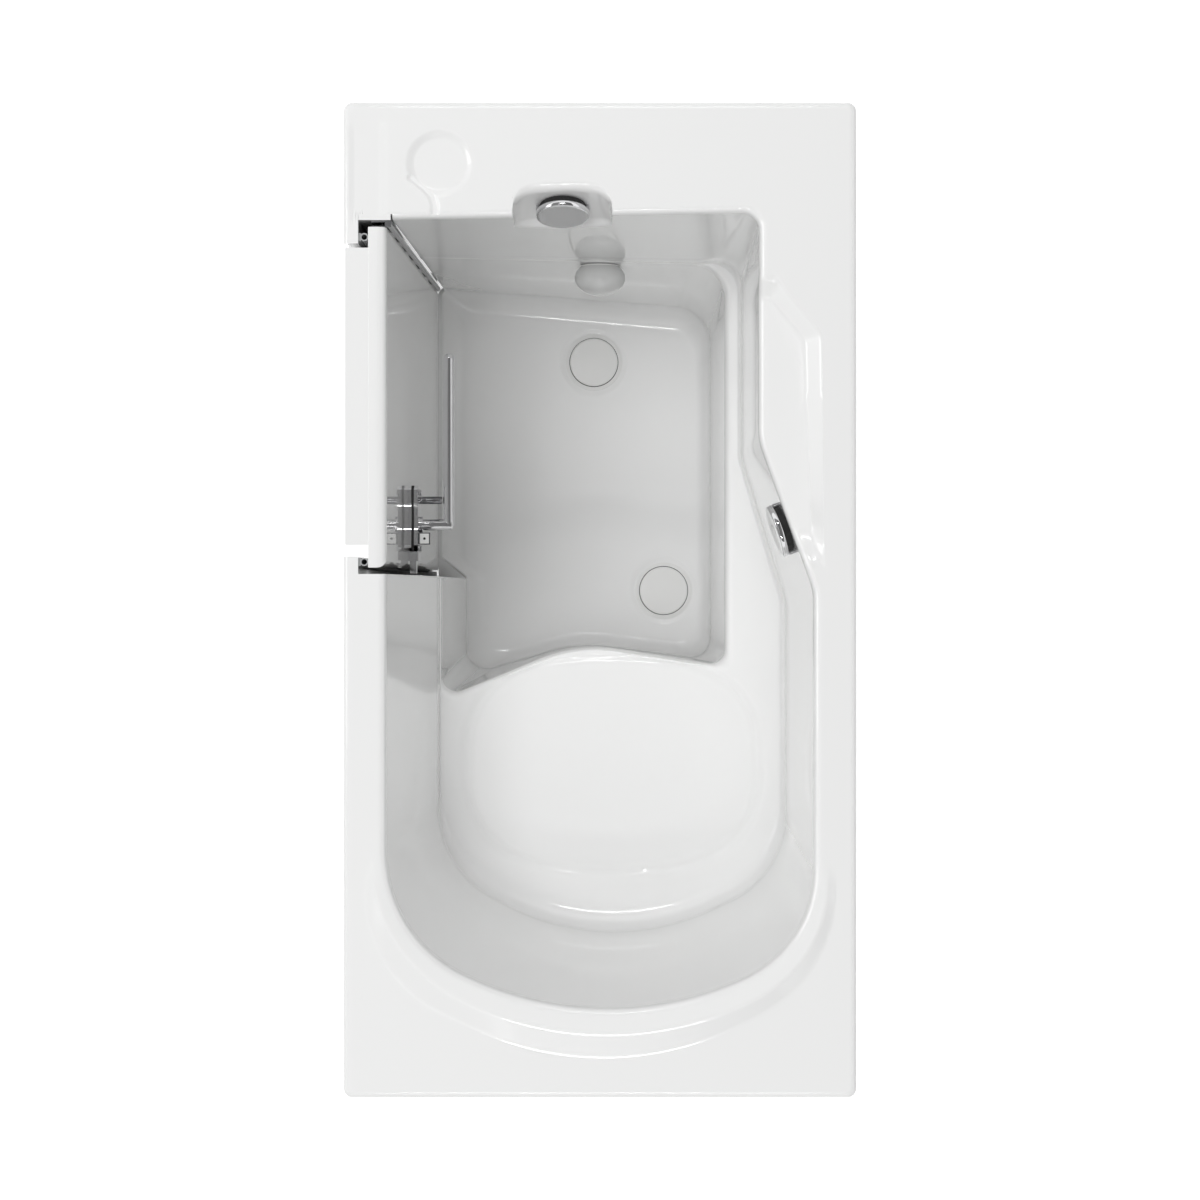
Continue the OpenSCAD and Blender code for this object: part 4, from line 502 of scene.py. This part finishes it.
def prism(name, profile, x0, x1):
    """A closed cutter: a profile of (y, z) points from x0 to x1."""
    n = len(profile)
    points = [(x * MM, y * MM, z * MM) for x in (x0, x1) for y, z in profile]
    # the fast solver's cut depends on this order of faces
    faces = [tuple(range(n))[::-1], tuple(range(n, 2 * n))]
    faces += [(i, (i + 1) % n, n + (i + 1) % n, n + i) for i in range(n)]
    mesh = bpy.data.meshes.new(name)
    mesh.from_pydata(points, [], faces)
    bm = bmesh.new()
    bm.from_mesh(mesh)
    bmesh.ops.recalc_face_normals(bm, faces=bm.faces)
    bm.to_mesh(mesh)
    bm.free()
    obj = bpy.data.objects.new(name, mesh)
    bpy.context.scene.collection.objects.link(obj)
    return obj


def door_cutters():
    """Cutters for the rebate, for the step before the latch post and for the clear opening."""
    above = DECK_Z + 20
    rebate = [(LIP_IN_Y, REBATE_Z), (LIP_IN_Y, above), (door_face_y(above) + DOOR_CLEAR, above),
              (door_face_y(REBATE_Z) + DOOR_CLEAR, REBATE_Z)]
    jog = rectangle(FRONT_Y - 8, FRONT_Y + 90, REBATE_Z, above)
    way = rectangle(-HW - 5, LIP_IN_Y + 1, LIP_Z, above)
    return [prism("cut_rebate", rebate, FOOT_X - SKIN - 1, POST_X),
            prism("cut_jog", jog, POST_X - 60, POST_X),
            prism("cut_way", way, OPEN_X0, OPEN_X1)]


def cut(obj, cutters):
    for c in cutters:
        mod = obj.modifiers.new(c.name, "BOOLEAN")
        mod.operation = "DIFFERENCE"
        mod.solver = "FAST"
        mod.object = c
    bpy.context.view_layer.update()
    graph = bpy.context.evaluated_depsgraph_get()
    mesh = bpy.data.meshes.new_from_object(obj.evaluated_get(graph))
    obj.modifiers.clear()
    obj.data = mesh
    for c in cutters:
        bpy.data.objects.remove(c)


# ---- materials ----
def material(name, color, rough, metal=0.0, coat=0.0, grain=0.0, bump=0.0, scale=60.0):
    """A plain finish with a fine procedural grain in its roughness and, if asked, its surface."""
    m = bpy.data.materials.new(name)
    m.use_nodes = True
    nodes, links = m.node_tree.nodes, m.node_tree.links
    shader = nodes["Principled BSDF"]
    shader.inputs["Base Color"].default_value = (*color, 1)
    shader.inputs["Metallic"].default_value = metal
    shader.inputs["Coat Weight"].default_value = coat
    shader.inputs["Coat Roughness"].default_value = 0.04
    where = nodes.new("ShaderNodeTexCoord")
    noise = nodes.new("ShaderNodeTexNoise")
    noise.inputs["Scale"].default_value = scale
    noise.inputs["Detail"].default_value = 3
    links.new(where.outputs["Object"], noise.inputs["Vector"])
    spread = nodes.new("ShaderNodeMapRange")
    spread.inputs["To Min"].default_value = max(0.0, rough - grain)
    spread.inputs["To Max"].default_value = rough + grain
    links.new(noise.outputs["Fac"], spread.inputs["Value"])
    links.new(spread.outputs["Result"], shader.inputs["Roughness"])
    if bump:
        relief = nodes.new("ShaderNodeBump")
        relief.inputs["Strength"].default_value = bump
        relief.inputs["Distance"].default_value = 0.001
        links.new(noise.outputs["Fac"], relief.inputs["Height"])
        links.new(relief.outputs["Normal"], shader.inputs["Normal"])
    return m


ACRYLIC = material("acrylic_white", (0.885, 0.887, 0.883), 0.2, coat=1.0, grain=0.02, scale=8)
GLASS_FIBRE = material("glass_fibre", (0.66, 0.65, 0.58), 0.6, grain=0.1, bump=0.6, scale=120)
CHROME = material("chrome", (0.8, 0.8, 0.81), 0.06, metal=1.0, grain=0.015, scale=30)
STEEL = material("steel", (0.5, 0.5, 0.51), 0.3, metal=1.0, grain=0.06, scale=200)
GREY_PAINT = material("grey_paint", (0.24, 0.25, 0.26), 0.45, grain=0.06, bump=0.1, scale=300)
SEAL = material("seal_rubber", (0.42, 0.43, 0.43), 0.5, grain=0.05, scale=200)
BLACK_RUBBER = material("black_rubber", (0.02, 0.02, 0.02), 0.6, grain=0.08, bump=0.1, scale=300)
BLACK_PLASTIC = material("black_plastic", (0.012, 0.012, 0.012), 0.6, grain=0.06, bump=0.1, scale=300)
PIPE = material("pipe_plastic", (0.7, 0.7, 0.68), 0.4, grain=0.05, scale=100)
# grey rather than the caps' white: painted shade for the dark tone of the inlet's dome
DOME_SHADE_GREY = material("dome_grey_painted_shade", (0.62, 0.625, 0.62), 0.12, coat=1.0, grain=0.02, scale=20)
# a darker copy of chrome: painted shade for chromed pieces whose reflections show dark
SHADED_CHROME = material("chrome_painted_shade", (0.3, 0.3, 0.31), 0.12, metal=1.0, grain=0.02, scale=30)
CAP = material("cap_white", (0.83, 0.83, 0.82), 0.14, coat=0.5, grain=0.02, scale=20)
BY_SLOT = {"acrylic": ACRYLIC, "door": ACRYLIC, "rubber": SEAL, "dark_rubber": BLACK_RUBBER,
           "chrome": CHROME, "steel": STEEL, "frame_steel": GREY_PAINT, "pipe": PIPE, "cap": CAP,
           "black_plastic": BLACK_PLASTIC, "foot_plastic": BLACK_PLASTIC}
# chromed nodes that show dark, given the darker copy of chrome as painted shade
SHADED_CHROME_NODES = ("hinge_frame_leaf", "hinge_door_leaf", "hinge_pin", "latch_stop")


def dress_frame():
    """Gives each solid of the frame the material of its slot, and the chromed nodes that show dark a darker
    copy of chrome as painted shade.
    """
    slots = {s["node"]: s["material_slot"] for s in frame["record"]["subparts"]}
    for name, obj in frame["nodes"].items():
        obj.data.materials.clear()
        obj.data.materials.append(SHADED_CHROME if name in SHADED_CHROME_NODES else BY_SLOT[slots[name]])
        smooth(obj)


# ---- shell ----
def tub_skin():
    """The shell with many more points than its plain solid, and with the shallow forms."""
    face = face_rings()
    back = face - SKIN * normals(face)
    press_pocket(face)
    press_pocket(back, SKIN)
    mesh = loft(face, back)
    press(mesh, dish_depth, (DISH_X - 52, FOOT_X - 6, DISH_Y - 52, DISH_Y + 52), DECK_Z, 5)
    press(mesh, strip_depth, (8 - HL, FOOT_X - 4, 2 - HW, STRIP_Y + 10), DECK_Z, 3)
    press(mesh, pad_depth, (PAD_X - 178, PAD_X + 178, PAD_Y - 236, PAD_Y + 236), SEAT_Z, 1)
    for x, y in DRAINS:
        press(mesh, drain_depth, (x - 62, x + 62, y - 62, y + 62), FLOOR_Z, 3)
    obj = add("tub_skin", mesh, "tub", "tub_shell", slot="acrylic", mats=(ACRYLIC, GLASS_FIBRE))
    cut(obj, door_cutters())
    smooth(obj, 40)


def post_patch():
    """The face of the latch post and the small shelf beside it, where the door swings past the skin."""
    low, high, outer = REBATE_Z - 3, RIM_LOW_Z, -300
    profile = [(outer, low), (LOW_Y, low), (LOW_Y, FILLET_Z), (SEAT_FRONT_Y + 3.5, NOSE_Z),
               (SEAT_FRONT_Y + 2, SEAT_Z + 1), (SEAT_FRONT_Y, BACK_LOW_Z), (FRONT_Y + 1, high), (outer, high)]
    shelf = [(POST_X - JOG - 8, DOOR_LOW_Y - 4), (POST_X - JOG + 1, DOOR_LOW_Y + 2.4),
             (POST_X + 0.6, LOW_Y + 1.6), (POST_X + 0.6, DOOR_LOW_Y - 4)]
    bm = bmesh.new()
    stack(bm, [[(x, y, z) for y, z in profile] for x in (POST_X, POST_X + PLATE_T)])
    stack(bm, [[(x, y, z) for x, y in shelf] for z in (REBATE_Z - 2, REBATE_Z + 0.4)])
    obj = add("latch_post_skin", closed_mesh(bm, "latch_post_skin"), "tub", slot="acrylic", mats=(ACRYLIC,))
    cut(obj, [prism("cut_bolt", rectangle(*BOLT_HOLE), POST_X - 1, POST_X + 4)])
    smooth(obj)


# ---- fittings ----
def facing(turn, tilt):
    """The way a control faces: turned from -Y toward +X, then tilted up, in degrees."""
    turn, tilt = math.radians(turn), math.radians(tilt)
    return (math.sin(turn) * math.cos(tilt), -math.cos(turn) * math.cos(tilt), math.sin(tilt))


def torus(ring_r, r, n=10):
    """The profile of a ring of radius ring_r with a round section of radius r."""
    turns = [2 * math.pi * k / n for k in range(n + 1)]
    return [(r * math.sin(t), ring_r + r * math.cos(t)) for t in turns]


# where the controls' axes meet the wall, and the way they face
FOOT_KNOB, FOOT_FACING = (FOOT_X - 22.379, POCKET_Y, DECK_Z - 45), facing(90, 18)
SEAT_KNOB, SEAT_FACING = (NOSE_X - 172, WALL_Y - 36.339, DECK_Z - 62), facing(19.4, 3)
# place of the inlet on the foot wall, and the radius, the widest place and the half length of its dome
INLET = (FOOT_X + 8, 0, FLOOR_Z + 392)
DOME_R, DOME_MID, DOME_HALF = 38, 17.5, 26.5
# places of the knobs' two posts, beside their middle
KNOB_POST_OFF = 32.5
# radius of the thin black ring round a drain's cap, and of its section; the ring is painted shade of the gap
# at the cap's edge
CAP_SHADE_RING_R, CAP_SHADE_RING_T = 39.3, 0.75

# ---- profiles of round pieces, as (along, radius) points ----
KNOB = [(6.4, 0), (6.4, 33), (7.2, 35.4), (8.6, 36), (12.4, 36), (13.8, 35.2), (14.6, 33.4), (14.4, 31),
        (14, 24), (13.8, 0)]
# a black drum behind the knob: painted shade of the dark gap between the knob and the wall
KNOB_SHADE_DRUM = [(-2, 0), (-2, 31), (6.2, 31), (6.2, 0)]
KNOB_POST = [(-3, 0), (-3, 3.4), (5.4, 3.4), (6, 2.8), (6, 0)]
# the dome's points stand closer together toward its tip
DOME_STEPS = (*range(-3, 34, 3), 35.5, 38, 40, 41.5, 42.6, 43.4, 43.85)
DOME = [(-3, 0), *[(a, DOME_R * math.sqrt(1 - ((a - DOME_MID) / DOME_HALF) ** 2)) for a in DOME_STEPS],
        (DOME_MID + DOME_HALF, 0)]
PEG_SLEEVE = [(14.6, 0), (14.6, 5.4), (46.5, 5.4), (48, 4.4), (48, 0)]
# a black dot in the stop's top: painted shade in its hole
STOP_HOLE_SHADE = [(16.2, 0), (16.2, 1.9), (17.35, 1.9), (17.35, 0)]


def lathe(name, profile, at, axis, body, *replaced, slot, mat, n=72):
    """A round piece, turned about an axis through a point; a radius of 0 is a single point."""
    bm = bmesh.new()
    rows = []
    for along, r in profile:
        turns = [2 * math.pi * k / n for k in range(n)] if r else [0]
        rows.append([bm.verts.new((r * MM * math.cos(t), r * MM * math.sin(t), along * MM)) for t in turns])
    for low, high in zip(rows, rows[1:]):
        for k in range(n):
            j = (k + 1) % n
            around = [low[k % len(low)], low[j % len(low)], high[j % len(high)], high[k % len(high)]]
            bm.faces.new(list(dict.fromkeys(around)))
    turn = Vector(axis).to_track_quat("Z", "Y").to_matrix().to_4x4()
    turn.translation = Vector(at) * MM
    bm.transform(turn)
    smooth(add(name, closed_mesh(bm, name), body, *replaced, slot=slot, mats=(mat,)), 30)


def control(name, at, axis, body, node):
    """A chrome knob before a black drum, which paints the shade of the gap behind the knob, with two small
    posts in the gap.
    """
    lathe(name + "_knob_skin", KNOB, at, axis, body, node, slot="chrome", mat=CHROME)
    lathe(name + "_knob_shade_drum", KNOB_SHADE_DRUM, at, axis, "tub", slot="black_plastic", mat=BLACK_PLASTIC)
    side = Vector(axis).cross(Vector((0, 0, 1))).normalized()
    for k, way in enumerate((-1, 1), 1):
        lathe("%s_knob_post_%d" % (name, k), KNOB_POST, Vector(at) + side * way * KNOB_POST_OFF, axis, "tub",
              slot="chrome", mat=STEEL, n=24)


def fittings():
    control("foot", FOOT_KNOB, FOOT_FACING, "foot_control", "foot_knob")
    control("seat", SEAT_KNOB, SEAT_FACING, "seat_control", "seat_knob")
    # the dome takes the grey, painted shade, in place of its slot's white
    lathe("inlet_dome", DOME, INLET, (1, 0, 0), "tub", "inlet_cover", slot="cap", mat=DOME_SHADE_GREY)
    # a black rubber ring at each cap's edge, painted shade of the gap between cap and flange
    for name, (x, y) in zip(("foot", "seat"), DRAINS):
        lathe(name + "_cap_shade_ring", torus(CAP_SHADE_RING_R, CAP_SHADE_RING_T), (x, y, FLOOR_Z + 0.3), (0, 0, 1),
              name + "_plug", slot="dark_rubber", mat=BLACK_RUBBER)


# ---- trim on the latch ----
# where the latch's middle stands on the door's inner face, and the ways out of that face and up along it
LATCH_X, LATCH_Z = -108.5, 654
LATCH_AT = Vector((LATCH_X, door_face_y(LATCH_Z), LATCH_Z))
LATCH_OUT = Vector((0, DECK_Z - REBATE_Z, DOOR_LEAN)).normalized()
LATCH_UP = Vector((0, -DOOR_LEAN, DECK_Z - REBATE_Z)).normalized()
# the peg's x, the middle of the stop block in x and y, and the corners of its top face, which is painted
# white as a highlight
PEG_X = -35
STOP_X, STOP_Y = 20.5, 23.6
STOP_HIGHLIGHT_FACE = [(13.4, 17), (27.6, 17), (27.6, 30), (13.4, 30)]
# layers of the stop's white face, a painted highlight: height and inset
STOP_HIGHLIGHT_LAYERS = ((16.9, 0), (17.1, 0), (17.3, 0.9))
# upper half of the housing's outline, in x and z, and the x of its middle
HOUSING = [(38.6, 17), (34.5, 22.5), (13.5, 22.5), (3, 19.5), (-8, 18.5), (-19, 19.5), (-29.5, 22.5),
           (-50, 22.5), (-55.5, 18)]
HOUSING_X = -8
# section of the black seam round the housing, painted shade of the gap there: distance from the door, and its
# share of the housing's outline
SHADE_SEAM = ((5.2, 1), (8.8, 1), (8.8, 0.94), (5.2, 0.94))


def latch_point(x, y, z):
    """A place on the latch: x along the door, y out of its inner face, z up."""
    return LATCH_AT + Vector((x, 0, 0)) + LATCH_OUT * y + LATCH_UP * z


def latch_sleeve():
    # the sleeve takes the darker copy of chrome, painted shade
    lathe("latch_peg_sleeve", PEG_SLEEVE, latch_point(PEG_X, 0, 0), LATCH_OUT, "door", slot="chrome",
          mat=SHADED_CHROME, n=32)


def latch_shade_seam():
    """A black seam round the housing, painted shade of the gap there, open where the bolt comes out."""
    run = HOUSING + [(x, -z) for x, z in reversed(HOUSING)]
    bm = bmesh.new()
    stack(bm, [[latch_point(HOUSING_X + (x - HOUSING_X) * share, y, z * share) for y, share in SHADE_SEAM]
               for x, z in run])
    add("latch_shade_seam", closed_mesh(bm, "latch_shade_seam"), "door", slot="dark_rubber", mats=(BLACK_RUBBER,))


def latch_stop():
    """The stop block's white face, a painted highlight on its top, with a dark dot in its middle, painted
    shade of its hole.
    """
    lathe("latch_stop_hole_shade", STOP_HOLE_SHADE, latch_point(STOP_X, STOP_Y, 0), LATCH_UP, "door", slot="black_plastic",
          mat=BLACK_PLASTIC, n=24)

    def drawn_in(x, y, inset):
        return x + math.copysign(inset, STOP_X - x), y + math.copysign(inset, STOP_Y - y)

    bm = bmesh.new()
    stack(bm, [[latch_point(*drawn_in(x, y, inset), z) for x, y in STOP_HIGHLIGHT_FACE] for z, inset in STOP_HIGHLIGHT_LAYERS])
    add("latch_stop_highlight_face", closed_mesh(bm, "latch_stop_highlight_face"), "door", slot="cap", mats=(CAP,))


# ---- studio ----
# the camera's height over the deck and its sensor, and the photograph's width in pixels and a pixel's size
# at the deck, in millimetres
CAMERA_UP, SENSOR = 3500, 36
PHOTO_PIXELS, DECK_PIXEL = 1200, 1.325
# light of the white surroundings on the object; the camera and reflections see them as white
AMBIENT = 0.22


def camera():
    data = bpy.data.cameras.new("camera")
    data.sensor_width = SENSOR
    data.lens = SENSOR * CAMERA_UP / (PHOTO_PIXELS * DECK_PIXEL)
    data.clip_end = 50
    obj = bpy.data.objects.new("camera", data)
    obj.location = (0, 0, (DECK_Z + CAMERA_UP) * MM)
    obj.rotation_euler = (0, 0, math.radians(90))
    bpy.context.scene.collection.objects.link(obj)
    bpy.context.scene.camera = obj


def seen_directly(nodes, links):
    """1 for rays from the camera, in reflections and through glass; 0 for the rest."""
    path = nodes.new("ShaderNodeLightPath")
    total = path.outputs["Is Camera Ray"]
    for name in ("Is Glossy Ray", "Is Transmission Ray"):
        more = nodes.new("ShaderNodeMath")
        more.operation = "MAXIMUM"
        links.new(total, more.inputs[0])
        links.new(path.outputs[name], more.inputs[1])
        total = more.outputs[0]
    return total


def world():
    w = bpy.data.worlds.new("studio")
    bpy.context.scene.world = w
    w.use_nodes = True
    nodes, links = w.node_tree.nodes, w.node_tree.links
    back = nodes["Background"]
    back.inputs["Color"].default_value = (1, 1, 1, 1)
    level = nodes.new("ShaderNodeMapRange")
    level.inputs["To Min"].default_value = AMBIENT
    level.inputs["To Max"].default_value = 1.0
    links.new(seen_directly(nodes, links), level.inputs["Value"])
    links.new(level.outputs["Result"], back.inputs["Strength"])


def glow_material(name, base):
    """A material without shine that glows white, and its shader, whose glow is still to be set."""
    m = bpy.data.materials.new(name)
    m.use_nodes = True
    shader = m.node_tree.nodes["Principled BSDF"]
    shader.inputs["Base Color"].default_value = (base, base, base, 1)
    shader.inputs["Specular IOR Level"].default_value = 0.0
    shader.inputs["Emission Color"].default_value = (1, 1, 1, 1)
    return m, shader


def floor():
    """A floor that keeps the object's shadow, and glows only where it is seen."""
    bpy.ops.mesh.primitive_plane_add(size=12, location=(0, 0, -0.0005))
    obj = bpy.context.object
    obj.name = "floor"
    m, shader = glow_material("floor_white", 0.75)
    shader.inputs["Roughness"].default_value = 0.9
    nodes, links = m.node_tree.nodes, m.node_tree.links
    glow = nodes.new("ShaderNodeMath")
    glow.operation = "MULTIPLY"
    glow.inputs[1].default_value = 0.75
    links.new(seen_directly(nodes, links), glow.inputs[0])
    links.new(glow.outputs[0], shader.inputs["Emission Strength"])
    obj.data.materials.append(m)


def aimed(at, aim):
    """The rotation that turns a lamp or card at one point toward another."""
    return (Vector(aim) - Vector(at)).to_track_quat("-Z", "Y").to_euler()


def lamp(name, at, aim, size, watts, glossy=True):
    data = bpy.data.lights.new(name, "AREA")
    data.shape = "RECTANGLE"
    data.size, data.size_y = size
    data.energy = watts
    obj = bpy.data.objects.new(name, data)
    obj.location = at
    obj.rotation_euler = aimed(at, aim)
    obj.visible_glossy = glossy
    bpy.context.scene.collection.objects.link(obj)


def sky(tilt_x, tilt_y, spread, strength):
    """A broad light from high above, so that the deep floor is lit too."""
    data = bpy.data.lights.new("sky", "SUN")
    data.energy = strength
    data.angle = math.radians(spread)
    obj = bpy.data.objects.new("sky", data)
    obj.rotation_euler = (math.radians(tilt_x), math.radians(tilt_y), 0)
    obj.visible_glossy = False
    bpy.context.scene.collection.objects.link(obj)


def card(name, at, aim, size, level):
    """A grey card that only reflections see."""
    bpy.ops.mesh.primitive_plane_add(size=1, location=at)
    obj = bpy.context.object
    obj.name = name
    obj.scale = (*size, 1)
    obj.rotation_euler = aimed(at, aim)
    m, shader = glow_material(name, 0)
    shader.inputs["Emission Strength"].default_value = level
    obj.data.materials.append(m)
    obj.visible_camera = obj.visible_diffuse = obj.visible_shadow = obj.visible_transmission = False


def studio():
    """Lamps and cards have their places, aims and sizes in metres."""
    camera()
    world()
    floor()
    sky(12, -2, 30, 1.36)
    lamp("key", (-0.4, -3.2, 3.0), (0, 0.1, 0.8), (1.6, 1.2), 15)
    lamp("strip_foot", (-2.0, 0, 3.9), (0, 0, 0.8), (1.1, 0.1), 8)
    lamp("strip_seat", (2.0, 0, 3.9), (0, 0, 0.8), (1.1, 0.1), 8)
    lamp("end_foot", (-2.6, 0, 3.2), (0.3, 0, 0.5), (1.4, 1.4), 18, glossy=False)
    lamp("end_seat", (2.6, 0, 3.2), (-0.3, 0, 0.5), (1.4, 1.4), 18, glossy=False)
    card("card_left", (0, -2.4, 4.4), (0, -2.4, 0), (9.0, 2.8), 0.25)
    card("card_right", (0, 1.2, 4.4), (0, 1.2, 0), (9.0, 4.0), 0.16)
    bpy.context.scene.view_settings.view_transform = "Standard"


dress_frame()
tub_skin()
post_patch()
fittings()
latch_sleeve()
latch_shade_seam()
latch_stop()
studio()
